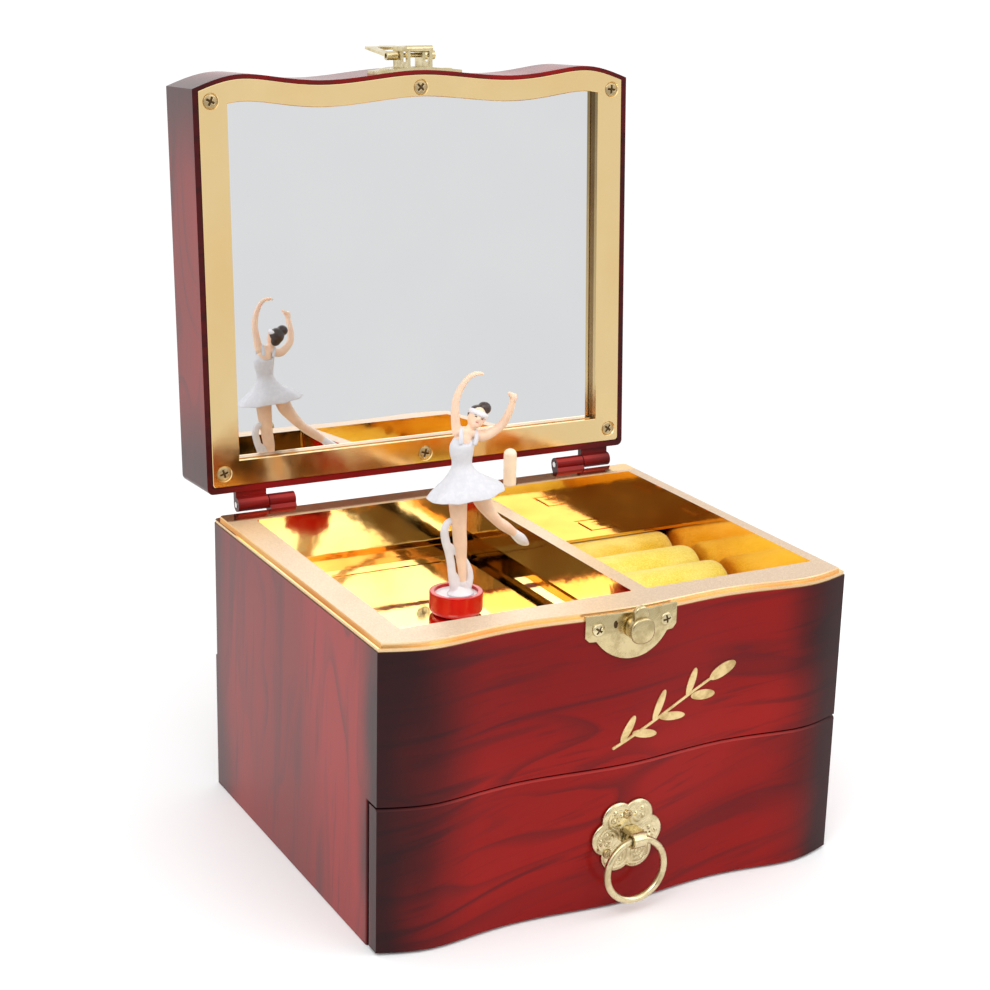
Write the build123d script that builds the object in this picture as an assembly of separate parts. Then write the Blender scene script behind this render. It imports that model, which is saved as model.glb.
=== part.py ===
from build123d import *
import math
import os

os.makedirs("parts", exist_ok=True)

# Ballerina jewellery box, lid open. Millimetres, +Z up, the front faces -Y.
# The origin is the centre of the case's underside.

# ---------------------------------------------------------------- dimensions
width = 160.0            # over the side walls
depth = 130.0            # from the front corners to the rear wall
case_top = 93.8          # top of the lacquered case walls
rim_top = 96.0           # top of the gilt tray's rim
wall = 4.0               # side and rear wall thickness
seam_z = 46.9            # lower edge of the fixed front
front_y = -depth / 2     # front corners
rear_y = depth / 2
wave_crest = 4.2         # how far the serpentine front swells past its corners
wave_dip = 1.7           # swell left in the two hollows
gap = 0.3                # clearance between pieces that move apart

drawer_travel = 85.0
drawer_front_thick = 6.3

stage_z = 77.5           # top of the mirror-gold stage plate
pad_top = 82.0           # crests of the ring rolls
roll_pitch = 17.2
roll_radius = 8.45
platform_z = 83.3        # floor of the shallow rear compartment

well_x0, well_x1 = -68.8, 7.8
right_x0, right_x1 = 13.2, 74.0
well_y0, well_y1 = -55.8, 54.0
platform_y0 = 27.0

hinge_y, hinge_z = 69.4, 97.0
lid_open_deg = 93.1
lid_thick = 27.0
lid_depth = 132.0
lid_face_z = 96.3        # face of the lid when it is shut
mirror_inset = 3.8

dancer_x, dancer_y = -25.8, -6.3
orbit_x, orbit_y = -30.5, -1.0
cup_radius = 8.5
cup_z = 77.75
cup_high = 7.25

peg_x, peg_y = 27.0, 57.2
peg_radius = 2.3

cylinder_x, cylinder_z = 26.0, 51.5


# ------------------------------------------------------------------- helpers
def block(x0, x1, y0, y1, z0, z1):
    """A box given by its six faces."""
    centre = ((x0 + x1) / 2, (y0 + y1) / 2, (z0 + z1) / 2)
    return Pos(*centre) * Box(x1 - x0, y1 - y0, z1 - z0)


def rod(start, end, radius):
    """A round bar between two points."""
    a = Vector(*start)
    b = Vector(*end)
    plane = Plane(origin=a, z_dir=(b - a).normalized())
    return extrude(plane * Circle(radius), amount=(b - a).length)


def serpentine(y_front, z0, z1):
    """Everything behind the wavy front line, between two heights."""
    mid = (wave_crest + wave_dip) / 2
    half = [(17.0, mid), (35.0, wave_dip), (50.0, mid), (65.0, wave_crest), (80.0, 0.0), (92.0, -4.5)]
    left = [(-x, y_front - b) for x, b in reversed(half)]
    right = [(x, y_front - b) for x, b in half]
    points = left + [(0.0, y_front - wave_crest)] + right
    curve = Spline(*points)
    back = Polyline(points[-1], (92.0, 90.0), (-92.0, 90.0), points[0])
    return Pos(0, 0, z0) * extrude(make_face(curve + back), amount=z1 - z0)


def wavy_block(half_x, y_front, y_back, z0, z1, corner=0.0):
    """A block whose front follows the wave, with rounded upright corners."""
    body = serpentine(y_front, z0, z1) & block(-half_x, half_x, -90, y_back, z0 - 1, z1 + 1)
    body = body.solids()[0]
    if corner > 0:
        body = fillet(body.edges().filter_by(Axis.Z), corner)
    return body


def skin(y_front, thick, z0, z1):
    """A thin sheet lying on the wavy front."""
    return serpentine(y_front - thick, z0, z1) - serpentine(y_front, z0 - 1, z1 + 1)


def front_cut(sketch_face, y0=-90, y1=-55):
    """A face drawn in X and Z, swept along Y."""
    plane = Plane(origin=(0, y0, 0), x_dir=(1, 0, 0), z_dir=(0, -1, 0))
    return extrude(plane * sketch_face, amount=-(y1 - y0))


def screw_head(radius, high):
    """Countersunk cross-head screw with its head at z = 0 and shank below."""
    head = Pos(0, 0, -high / 2) * Cone(radius * 0.45, radius, high)
    shank = Pos(0, 0, -high - 2.0) * Cylinder(radius * 0.45, 4.0)
    slot = Box(radius * 1.1, radius * 0.22, 0.8) + Box(radius * 0.22, radius * 1.1, 0.8)
    return (head + shank - slot).solids()[0]


def countersink(radius, high):
    """The seat one of those screws fills."""
    return Pos(0, 0, -high / 2) * Cone(radius * 0.45, radius, high) + Pos(0, 0, -high - 2.0) * Cylinder(
        radius * 0.45, 4.0
    )


def save(shape, node):
    """One STEP file per node."""
    solids = shape.solids()
    out = solids[0] if len(solids) == 1 else Compound(children=list(solids))
    out.label = node
    export_step(out, os.path.join("parts", node + ".step"))


# ---------------------------------------------------------------- the case
case = wavy_block(width / 2, front_y, rear_y, seam_z, case_top, 2.0)
lower = fillet(block(-80, 80, -58.4, rear_y, 0, seam_z + 1).edges().filter_by(Axis.Z), 0.8)
lower = lower & block(-81, 81, -60, rear_y + 1, 0, seam_z)
case = case + lower
case = case - block(-76, 76, -58, rear_y - wall, seam_z, case_top + 1)
case = case - block(-76, 76, -70, rear_y - wall, -1, seam_z + 0.1)
fixed_front = wavy_block(width / 2, front_y, -58.0, seam_z, case_top, 2.0)
case = case + fixed_front

# Rear wall: winding arbor hole, hinge knuckles and their brackets.
case = case - rod((cylinder_x, 58, cylinder_z), (cylinder_x, 70, cylinder_z), 3.2)
for x0, x1 in ((-58.85, -49.5), (52.0, 62.85)):
    knuckle = rod((x0, hinge_y, hinge_z), (x1, hinge_y, hinge_z), 2.4)
    foot = Polyline(
        (64.5, 84.0), (65.2, 84.0), (71.6, 95.6), (68.0, 97.5), (65.2, 93.4), (64.5, 93.4), (64.5, 84.0)
    )
    arm = extrude(Plane.YZ.offset(x0) * make_face(foot), amount=x1 - x0)
    case = case + knuckle + arm
    case = case - rod((x0 - 1, hinge_y, hinge_z), (x1 + 1, hinge_y, hinge_z), 1.05)
case = case.solids()[0]

base_y0 = -58.0
case_base = block(-75.9, 75.9, base_y0, rear_y - wall - 0.1, 0.0, 3.0)
base_spots = [(x, y) for x in (-66, 66) for y in (-48, 50)]
for x, y in base_spots:
    case_base = case_base - Pos(x, y, 0.0) * Rot(180, 0, 0) * countersink(2.6, 1.4)
base_screws = Compound(
    children=[Pos(x, y, 0.03) * Rot(180, 0, 0) * screw_head(2.5, 1.4) for x, y in base_spots]
)
# the shanks end inside the base board, clear of the drawer
base_screws = Compound(
    children=[s & block(-80, 80, -80, 80, 0, 2.9) for s in base_screws.solids()]
)

shelf = block(-75.9, 75.9, -57.9, rear_y - wall - 0.1, 33.0, 36.0)
runners = block(-75.9, -74.6, -57.9, 60.0, 3.1, 32.9)
runners = Compound(children=[runners, Pos(150.5, 0, 0) * runners])

# ------------------------------------------------------------ the gilt tray
lip = wavy_block(79.7, front_y + 0.3, rear_y - 0.3, case_top + 0.02, 94.9, 1.8)
rim = wavy_block(78.4, front_y + 1.6, 63.6, 94.9, rim_top, 1.5)
rim = chamfer(rim.faces().sort_by(Axis.Z)[-1].edges(), 0.25)
left_walls = block(well_x0 - 1, well_x1 + 1, well_y0 - 1, well_y1 + 1, 83.0, 95)
right_walls = block(right_x0 - 1, right_x1 + 1, well_y0 - 0.7, well_y1 + 1.3, 82.3, 95)
tray = lip + rim + left_walls + right_walls
tray = tray + block(well_x1, right_x0, well_y0 - 0.5, well_y1 + 1, 83.0, rim_top - 0.1)
well_cut = fillet(block(well_x0, well_x1, well_y0, well_y1, 80, 99).edges().filter_by(Axis.Z), 0.8)
tray = tray - well_cut
ring_cut = block(right_x0, right_x1, well_y0 + 0.3, platform_y0, 80, 99)
shelf_cut = block(right_x0, right_x1, platform_y0 - 1, well_y1 + 0.3, platform_z, 99)
tray = tray - ring_cut - shelf_cut
tray = tray - rod((peg_x, peg_y, 80), (peg_x, peg_y, 99), peg_radius + 0.3)
# the ring well's right wall reaches down beside the rolls
tray = tray + block(right_x1, right_x1 + 1.0, well_y0 + 0.3, platform_y0 + 0.5, 70.0, 83.0)
# embossed square on the rear platform
tray = tray - block(46.5, 58.5, 33.0, 45.0, platform_z - 0.4, platform_z + 1)
tray = tray + block(47.6, 57.4, 34.1, 43.9, platform_z - 0.5, platform_z)
tray = tray - block(49.6, 55.4, 36.1, 41.9, platform_z - 0.3, platform_z + 1)
tray = tray.solids().sort_by(SortBy.VOLUME)[-1]

tub = block(-75.5, 18.0, -57.8, 55.6, 75.1, 82.9) - block(-74.5, 17.0, -57.0, 54.6, 76.3, 84)
tub = (tub - block(11.0, 19.0, -60, 60, 82.2, 84)).solids()[0]
stage_plate = block(-73.0, 16.4, -56.0, 46.0, 76.32, stage_z)
stage_plate = chamfer(stage_plate.faces().sort_by(Axis.Z)[-1].edges(), 0.15)

# ------------------------------------------------------ velvet ring cushion
pad_base = block(18.7, 75.8, -57.0, 36.0, 66.0, 68.3)
roll_centres = [26.5 - roll_pitch * i for i in range(5)]
rolls = []
for y in roll_centres:
    profile = Circle(roll_radius) + Pos(0, -5.0) * Rectangle(2 * roll_radius, 10.0)
    section = Plane(origin=(18.9, y, pad_top - roll_radius), x_dir=(0, 1, 0), z_dir=(1, 0, 0)) * profile
    bar = extrude(section, amount=54.9)
    bar = fillet(bar.faces().sort_by(Axis.X)[-1].edges(), 4.2)
    bar = bar & block(18, 80, y - 9, y + 9, 68.4, pad_top + 1)
    rolls.append(bar.solids()[0])

# --------------------------------------------------------------- stop peg
stop_peg = rod((peg_x, peg_y, 79.2), (peg_x, peg_y, 108.8), peg_radius)
stop_peg = fillet(stop_peg.faces().sort_by(Axis.Z)[-1].edges(), 2.0)
peg_guide = block(peg_x - 5, peg_x + 5, 53.0, 60.9, 62.0, 81.6)
peg_guide = peg_guide - rod((peg_x, peg_y, 60), (peg_x, peg_y, 84), peg_radius + 0.1)

# ------------------------------------------------------------ front latch
face_y = front_y - wave_crest
belly = (Pos(0, 95.5) * Circle(14.5)) & (Pos(0, 86.0) * Rectangle(40.0, 12.0))
plate_shape = Pos(0, 91.2) * Rectangle(31.2, 8.6) + belly
latch_plate = front_cut(plate_shape) & skin(front_y, 1.0, 80, 97)
latch_plate = latch_plate - block(-20, 20, -90, -50, 95.4, 99)
latch_plate = latch_plate.solids().sort_by(SortBy.VOLUME)[-1]
latch_screws = []
for x in (-11.6, 11.6):
    slope_y = front_y - 3.35
    head = rod((x, slope_y + 0.2, 91.2), (x, slope_y - 1.5, 91.2), 2.1)
    head = fillet(head.faces().sort_by(Axis.Y)[0].edges(), 0.5)
    head = head - block(x - 1.3, x + 1.3, slope_y - 3, slope_y - 1.1, 90.95, 91.45)
    head = head - block(x - 0.25, x + 0.25, slope_y - 3, slope_y - 1.1, 89.9, 92.5)
    shank = rod((x, slope_y + 5, 91.2), (x, slope_y - 0.5, 91.2), 1.0)
    head = head - serpentine(front_y, 80, 97) + shank
    case = case - rod((x, slope_y + 5, 91.2), (x, slope_y - 3, 91.2), 1.0)
    latch_plate = latch_plate - rod((x, -75, 91.2), (x, -60, 91.2), 2.1)
    latch_screws.append(head.solids()[0])

catch_z = 91.0
catch_y = face_y - 1.3
catch = rod((0, catch_y, catch_z), (0, catch_y - 3.1, catch_z), 2.2)
catch = catch + rod((0, catch_y - 3.1, catch_z), (0, catch_y - 5.0, catch_z), 3.45)
tongue = block(-2.5, 2.5, catch_y - 3.95, catch_y - 2.0, catch_z, 97.9)
tongue = tongue + rod((0, catch_y - 3.95, 97.9), (0, catch_y - 2.0, 97.9), 2.5)
catch = catch + tongue
catch_post = rod((0, face_y + 1.4, catch_z), (0, face_y - 2.6, catch_z), 1.0)
catch = catch - rod((0, face_y + 2, catch_z), (0, face_y - 2.7, catch_z), 1.05)
catch = catch.solids()[0]
latch_plate = latch_plate + (catch_post & block(-5, 5, -90, face_y - 0.2, 80, 99))
latch_plate = latch_plate.solids().sort_by(SortBy.VOLUME)[-1]

# gilt leaf sprig inlaid in the fixed front, a plain ornament
sprig = Pos(14, 61) * Rot(0, 0, 24) * SlotOverall(42, 0.9)
leaf_spots = [(0, 58, 60, 9), (6, 55.5, -12, 9), (11, 63.5, 66, 10), (16, 59, -8, 10), (23, 68.5, 70, 9)]
for x, z, turn, long in leaf_spots:
    sprig = sprig + Pos(x, z) * Rot(0, 0, turn) * Ellipse(long / 2, 1.35)
sprig = sprig + Pos(34.5, 70.2) * Rot(0, 0, 24) * Ellipse(5, 2.0)
sprig = sprig + Pos(27.5, 63.5) * Rot(0, 0, -5) * Ellipse(4.5, 1.6)
front_ornament = front_cut(sprig) & skin(front_y, 0.3, 50, 80)

# ------------------------------------------------------------------ drawer
drawer_front = wavy_block(width / 2, front_y, -58.75, 0.8, 46.2, 0)
side_edges = drawer_front.edges().filter_by(Axis.Z).sort_by(Axis.Y)
drawer_front = fillet(side_edges[0:2], 1.8)
drawer_front = chamfer(drawer_front.faces().sort_by(Axis.Z)[-1].edges().sort_by(Axis.Y)[0], 0.6)
drawer_box = block(-74.2, 74.2, -58.7, 54.0, 3.9, 31.0) - block(-70.7, 70.7, -55.2, 50.5, 6.9, 32)
lining = block(-70.5, 70.5, -55.0, 50.3, 7.0, 7.8)
drawer_screws = []
for x in (-50, 50):
    seat = rod((x, -57.2, 19), (x, -54.7, 19), 2.6) + rod((x, -62.6, 19), (x, -57, 19), 1.1)
    drawer_box = drawer_box - (seat & block(-80, 80, -58.8, -54, 0, 40))
    drawer_front = drawer_front - (seat & block(-80, 80, -70, -58.7, 0, 40))
    pin = rod((x, -62.4, 19), (x, -57.2, 19), 1.1) + rod((x, -57.2, 19), (x, -55.6, 19), 2.6)
    drawer_screws.append(pin.solids()[0])

# rosette pull with a hanging ring
rose_x, rose_z = 1.0, 23.4
petals = Circle(7.2)
for k in range(6):
    petals = petals + Rot(0, 0, 60 * k) * Pos(7.3, 0) * Circle(4.8)
rose_back = face_y - 0.05
rosette = front_cut(Pos(rose_x, rose_z) * petals, rose_back - 0.9, rose_back)
rosette = rosette + rod((rose_x, rose_back, rose_z), (rose_x, rose_back - 1.5, rose_z), 4.6)
for k in range(6):
    angle = math.radians(60 * k)
    for radial, side in ((9.9, 0.0), (7.9, 1.5), (7.9, -1.5)):
        x = rose_x + radial * math.cos(angle) - side * math.sin(angle)
        z = rose_z + radial * math.sin(angle) + side * math.cos(angle)
        rosette = rosette + Pos(x, rose_back - 0.9, z) * Sphere(0.75)
rosette = rosette & block(-30, 30, -90, rose_back, 5, 45)
rose_screw_spots = [(0.6, 30.6), (-6.1, 18.9)]
rosette_screws = []
for x, z in rose_screw_spots:
    rosette = rosette - rod((x, -90, z), (x, -60, z), 1.5)
    head = rod((x, rose_back, z), (x, rose_back - 1.7, z), 1.5)
    head = fillet(head.faces().sort_by(Axis.Y)[0].edges(), 0.4)
    head = head - block(x - 1.0, x + 1.0, rose_back - 3, rose_back - 1.35, z - 0.18, z + 0.18)
    rosette_screws.append(head.solids()[0])

ring_wire = 1.1
ring_radius = 9.9
ring_y, ring_z = -75.4, 24.4
staple = rod((rose_x - 2.1, ring_y, ring_z), (rose_x + 2.1, ring_y, ring_z), 2.6)
staple = staple + block(rose_x - 2.1, rose_x + 2.1, ring_y, rose_back - 1.52, ring_z - 2.6, ring_z - 1.0)
staple = staple + block(rose_x - 2.1, rose_x + 2.1, ring_y, rose_back - 1.52, ring_z + 1.0, ring_z + 2.6)
staple = staple - rod((rose_x - 3, ring_y, ring_z), (rose_x + 3, ring_y, ring_z), 1.65)
staple = staple.solids()[0]
rosette = rosette.solids().sort_by(SortBy.VOLUME)[-1]
pull_ring = Pos(rose_x, ring_y, ring_z - ring_radius) * Rot(90, 0, 0) * Torus(ring_radius, ring_wire)

# ---------------------------------------------------------------- movement
bed = block(-2, 62, -32, 46, 36.02, 38.5)
bed = bed + block(-2, 8, -24, 22, 38.4, 52.0)
bed = bed + block(21, 31, -31.5, -29.0, 38.4, 55.5)
bed = bed - rod((cylinder_x, -33, cylinder_z), (cylinder_x, -28, cylinder_z), 1.55)
bed = bed + block(15, 37, 29.5, 42.0, 38.4, 39.4)
bed_screw_spots = [(2, 40), (58, 40), (58, -28)]
movement_screws = []
for x, y in bed_screw_spots:
    bed = bed - Pos(x, y, 38.5) * countersink(2.3, 1.2)
    screw = Pos(x, y, 38.5) * screw_head(2.3, 1.2)
    movement_screws.append((screw & block(-99, 99, -99, 99, 36.05, 40)).solids()[0])

cylinder = rod((cylinder_x, -24, cylinder_z), (cylinder_x, 22, cylinder_z), 7.4)
cylinder = cylinder + rod((cylinder_x, -26.5, cylinder_z), (cylinder_x, -24, cylinder_z), 9.0)
cylinder = cylinder + rod((cylinder_x, -31.0, cylinder_z), (cylinder_x, 31.0, cylinder_z), 1.5)

comb = block(-2, 17.6, -23, 21, 52.02, 53.4)
teeth = 22
for k in range(1, teeth):
    y = -23 + 44 * k / teeth
    comb = comb - block(5.5, 18, y - 0.25, y + 0.25, 51, 54.5)
comb_screws = []
for y in (-16, 14):
    comb = comb - rod((2, y, 51), (2, y, 55), 1.6)
    bed = bed - rod((2, y, 46), (2, y, 53), 1.6)
    comb_screw = rod((2, y, 46.2), (2, y, 53.42), 1.6) + rod((2, y, 53.42), (2, y, 54.9), 2.8)
    comb_screws.append(comb_screw.solids()[0])

barrel = rod((cylinder_x, 29.6, cylinder_z), (cylinder_x, 42, cylinder_z), 12.0)
barrel = barrel - rod((cylinder_x, 28, cylinder_z), (cylinder_x, 31.2, cylinder_z), 1.55)
barrel = barrel - rod((cylinder_x, 33, cylinder_z), (cylinder_x, 44, cylinder_z), 1.55)
barrel = barrel - block(15, 37, 29, 43, 36, 39.42)

winding_key = rod((cylinder_x, 33.4, cylinder_z), (cylinder_x, 80, cylinder_z), 1.5)
winding_key = winding_key + rod((cylinder_x, 66, cylinder_z), (cylinder_x, 74, cylinder_z), 2.6)
bow = Pos(0, 79) * Rectangle(5, 10)
for side in (-1, 1):
    bow = bow + Pos(side * 8.5, 80) * Circle(6.5) - Pos(side * 9.0, 80) * Circle(3.0)
bow_solid = extrude(Plane(origin=(cylinder_x, 0, cylinder_z - 1), z_dir=(0, 0, 1)) * bow, amount=2)
winding_key = (winding_key + bow_solid).solids()[0]

wheel_x = cylinder_x + 11.6
train_wheel = rod((wheel_x, -26.4, cylinder_z), (wheel_x, -24.2, cylinder_z), 2.2)
train_wheel = train_wheel + rod((wheel_x, -28.6, cylinder_z), (wheel_x, -26.9, cylinder_z), 8.0)
train_wheel = train_wheel + rod((wheel_x, -31.4, cylinder_z), (wheel_x, -20.5, cylinder_z), 1.0)
wheel_post = block(wheel_x - 3, wheel_x + 3, -31.8, -29.2, 38.4, 55)
wheel_post = wheel_post + block(wheel_x - 3, wheel_x + 3, -22.6, -20, 38.4, 55)
wheel_post = wheel_post - rod((wheel_x, -34, cylinder_z), (wheel_x, -18, cylinder_z), 1.05)
bed = bed + wheel_post

gov_x, gov_y = 50.0, -14.0
governor = rod((gov_x, gov_y, 40.2), (gov_x, gov_y, 59.0), 1.0)
governor = governor + rod((gov_x, gov_y, 44), (gov_x, gov_y, 52), 1.9)
governor = governor + block(gov_x - 5.5, gov_x + 5.5, gov_y - 0.5, gov_y + 0.5, 53.4, 57.0)
gov_frame = block(gov_x - 3.5, gov_x + 3.5, gov_y - 12, gov_y + 3.5, 38.4, 42.0)
gov_frame = gov_frame + block(gov_x - 3.5, gov_x + 3.5, gov_y - 12, gov_y - 9, 38.4, 61.0)
gov_frame = gov_frame + block(gov_x - 3.5, gov_x + 3.5, gov_y - 12, gov_y + 3.5, 58.0, 61.0)
gov_frame = gov_frame - rod((gov_x, gov_y, 39.9), (gov_x, gov_y, 59.3), 1.05)
bed = bed + gov_frame
bedplate = bed.solids().sort_by(SortBy.VOLUME)[-1]

gear_case = block(-48, -12, -16, 14, 36.02, 48.0)
gear_case = fillet(gear_case.edges().filter_by(Axis.Z), 2.0)
gear_case = gear_case - rod((orbit_x, orbit_y, 37.5), (orbit_x, orbit_y, 50), 2.05)
magnet_arm = rod((orbit_x, orbit_y, 37.9), (orbit_x, orbit_y, 71.5), 2.0)
magnet_arm = magnet_arm + rod((orbit_x, orbit_y, 48.4), (orbit_x, orbit_y, 50.4), 6.0)
reach = math.hypot(dancer_x - orbit_x, dancer_y - orbit_y)
swing = math.degrees(math.atan2(dancer_y - orbit_y, dancer_x - orbit_x))
arm_face = Pos(reach / 2, 0) * SlotOverall(reach + 8, 8)
arm_plane = Plane(origin=(orbit_x, orbit_y, 69.5))
magnet_arm = magnet_arm + extrude(arm_plane * Rot(0, 0, swing) * arm_face, amount=2.0)
magnet_arm = magnet_arm + rod((dancer_x, dancer_y, 71.4), (dancer_x, dancer_y, 74.6), 6.0)
magnet_arm = magnet_arm.solids()[0]

# ------------------------------------------------- dancer, cup and magnet
base_disc_z = 83.4
cup = rod((dancer_x, dancer_y, cup_z), (dancer_x, dancer_y, cup_z + cup_high), cup_radius)
cup = fillet(cup.faces().sort_by(Axis.Z)[0].edges(), 1.95)
cup = fillet(cup.faces().sort_by(Axis.Z)[-1].edges(), 0.35)
cup = cup - rod((dancer_x, dancer_y, 82.2), (dancer_x, dancer_y, 90), 6.9)
magnet_y, magnet_z = dancer_y - 6.2, 79.3
slot = rod((dancer_x - 2.9, magnet_y, magnet_z), (dancer_x + 2.9, magnet_y, magnet_z), 1.1)
slot = slot + block(dancer_x - 2.9, dancer_x + 2.9, magnet_y - 1.1, magnet_y + 1.1, 77, magnet_z)
cup = (cup - slot).solids()[0]
dancer_magnet = rod((dancer_x - 2.5, magnet_y, magnet_z), (dancer_x + 2.5, magnet_y, magnet_z), 0.8)
disc = rod((dancer_x, dancer_y, 82.22), (dancer_x, dancer_y, base_disc_z + 0.6), 6.8)

fy = dancer_y - 1.5      # plane the figure stands in


def limb(points, radii):
    """A tapering limb through several points, with rounded joints."""
    part = None
    for k in range(len(points) - 1):
        a = Vector(*points[k])
        b = Vector(*points[k + 1])
        length = (b - a).length
        plane = Plane(origin=(a + b) * 0.5, z_dir=(b - a).normalized())
        same = abs(radii[k] - radii[k + 1]) < 0.01
        stock = Cylinder(radii[k], length) if same else Cone(radii[k], radii[k + 1], length)
        piece = plane.location * stock
        piece = piece + Pos(a.X, a.Y, a.Z) * Sphere(radii[k]) + Pos(b.X, b.Y, b.Z) * Sphere(radii[k + 1])
        part = piece if part is None else part + piece
    return part


stand = [(-26.2, fy, 117.5), (-25.8, fy, 108), (-25.6, fy, 100), (-24.9, fy, 93), (-24.3, fy, 86.2)]
legs = limb(stand, [2.7, 2.55, 1.9, 1.7, 1.2])
lifted = [(-19.0, fy, 117.5), (-13.1, fy + 1.6, 107.4), (-4.3, fy + 5.2, 100.4)]
legs = legs + limb(lifted, [2.7, 2.5, 1.35])
legs = legs + limb([(-26.2, fy, 117.5), (-19.0, fy, 117.5)], [2.7, 2.7])
slippers = limb([(-24.3, fy, 86.15), (-23.6, fy, 84.2)], [1.3, 1.0])
slippers = slippers & block(-60, 20, -60, 60, base_disc_z + 0.62, 90)
toe = limb([(-4.4, fy + 5.2, 100.4), (-1.2, fy + 6.6, 97.2), (2.4, fy + 8.2, 94.2)], [1.45, 1.9, 1.0])
legs = legs - toe - limb([(-24.3, fy, 86.15), (-23.6, fy, 84.2)], [1.3, 1.0])
slippers = Compound(children=[slippers.solids()[0], toe.solids()[0]])

py = fy + 0.6
prop_path = [(-28.9, py, 100.6), (-31.9, py, 99.2), (-31.6, py, 94.5), (-29.4, py, 90.0)]
prop_path = prop_path + [(-28.6, fy + 0.6, 87.0), (-26.6, fy + 0.6, 84.9)]
prop = limb(prop_path, [1.1, 1.3, 1.2, 1.3, 1.3, 1.5])
prop = prop + limb([(-21.9, py, 90.4), (-21.5, py, 87.0), (-22.6, py, 84.9)], [0.9, 1.2, 1.5])
prop = prop + limb([(-28.9, py, 100.6), (-27.9, py, 95), (-28.4, py, 90.0)], [1.0, 0.9, 1.0])
foot = Pos(-24.8, fy + 0.6, 84.6) * Cone(4.4, 3.0, 1.2)
prop = (prop + foot) & block(-60, 20, -60, 60, base_disc_z + 0.62, 110)
prop = prop - legs - limb([(-24.3, fy, 86.15), (-23.6, fy, 84.2)], [1.3, 1.0])
prop = prop.solids().sort_by(SortBy.VOLUME)[-1]

waist_x = -25.1
skirt_centre = -23.2


def oval(x, z, rx, ry, tilt=0.0):
    """A horizontal oval slice of the dress."""
    plane = Plane(origin=(x, fy, z)) * Plane(origin=(0, 0, 0), z_dir=(math.sin(math.radians(tilt)), 0, 1))
    return plane * Ellipse(rx, ry)


skirt_low = loft([oval(skirt_centre, 115.3, 12.2, 8.6), oval(skirt_centre, 117.6, 12.9, 9.0)], ruled=True)
hem = oval(skirt_centre, 117.6, 12.9, 9.0)
hip = oval(-24.4, 122.0, 6.4, 5.4)
skirt = loft([hem, hip, oval(waist_x, 127.2, 3.5, 3.0)])
bodice = loft([oval(waist_x, 127.2, 3.5, 3.0), oval(-24.7, 131.8, 4.5, 3.3), oval(-24.4, 134.2, 4.0, 2.9)])
dress = skirt_low + skirt + bodice
dress = dress - legs

torso = loft([oval(-24.4, 134.25, 3.9, 2.8), oval(-24.0, 136.6, 4.2, 2.4), oval(-23.4, 138.0, 1.8, 1.7)])
torso = torso + limb([(-23.4, fy, 137.0), (-22.4, fy, 139.2)], [1.5, 1.3])
head = Pos(-21.0, fy, 141.6) * Sphere(3.3)
left_arm = limb([(-27.0, fy, 136.6), (-28.0, fy - 0.3, 142.4), (-28.1, fy - 0.7, 147.2)], [1.6, 1.35, 1.2])
left_hand = [(-28.1, fy - 0.7, 147.2), (-26.3, fy - 1.5, 152.2), (-23.7, fy - 2, 155.0)]
left_arm = left_arm + limb(left_hand, [1.2, 1.0, 0.85])
left_arm = left_arm + limb([(-23.7, fy - 2, 155.0), (-19.9, fy - 2.2, 155.2)], [0.85, 0.5])
right_arm = limb([(-20.6, fy, 135.6), (-16.3, fy - 1.2, 135.9), (-12.8, fy - 3.2, 138.5)], [1.7, 1.45, 1.2])
right_arm = right_arm + limb([(-12.8, fy - 3.2, 138.5), (-11.5, fy - 7.2, 147.1)], [1.2, 0.85])
right_arm = right_arm + limb([(-11.5, fy - 7.2, 147.1), (-13.9, fy - 8.2, 149.6)], [0.85, 0.6])
torso = torso + head + left_arm + right_arm
hair = Pos(-19.9, fy + 0.5, 142.9) * Sphere(3.2) + Pos(-17.3, fy + 0.8, 144.1) * Sphere(1.8)
hair = hair - torso
hair = hair.solids().sort_by(SortBy.VOLUME)[-1]
torso = torso - dress
torso = torso.solids().sort_by(SortBy.VOLUME)[-1]
dress = dress.solids().sort_by(SortBy.VOLUME)[-1]
legs = legs.solids().sort_by(SortBy.VOLUME)[-1]

# ------------------------------------------------- lid, drawn shut and flat
lid_rear = 64.94
lid_front = lid_rear - lid_depth
lid_top = lid_face_z + lid_thick
shell = wavy_block(width / 2, lid_front, lid_rear, lid_face_z + 0.3, lid_top, 2.0)
shell = fillet(shell.faces().sort_by(Axis.Z)[-1].edges(), 2.2)
hollow = wavy_block(72.5, lid_front + 8.0, lid_rear - 8.4, lid_face_z, lid_top - 5.0)
rebate = wavy_block(78.15, lid_front + 1.35, lid_rear - 2.05, lid_face_z - 1, lid_face_z + 2.05)
shell = shell - hollow - rebate
shell_lugs = []
for x0, x1 in ((-70.0, -59.15), (63.15, 74.0)):
    lug = rod((x0, hinge_y, hinge_z), (x1, hinge_y, hinge_z), 2.4)
    lug = lug + block(x0, x1, 64.0, hinge_y, 97.2, 99.4)
    shell = shell + lug
    shell = shell - rod((x0 - 1, hinge_y, hinge_z), (x1 + 1, hinge_y, hinge_z), 1.05)
shell = shell.solids().sort_by(SortBy.VOLUME)[-1]

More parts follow.
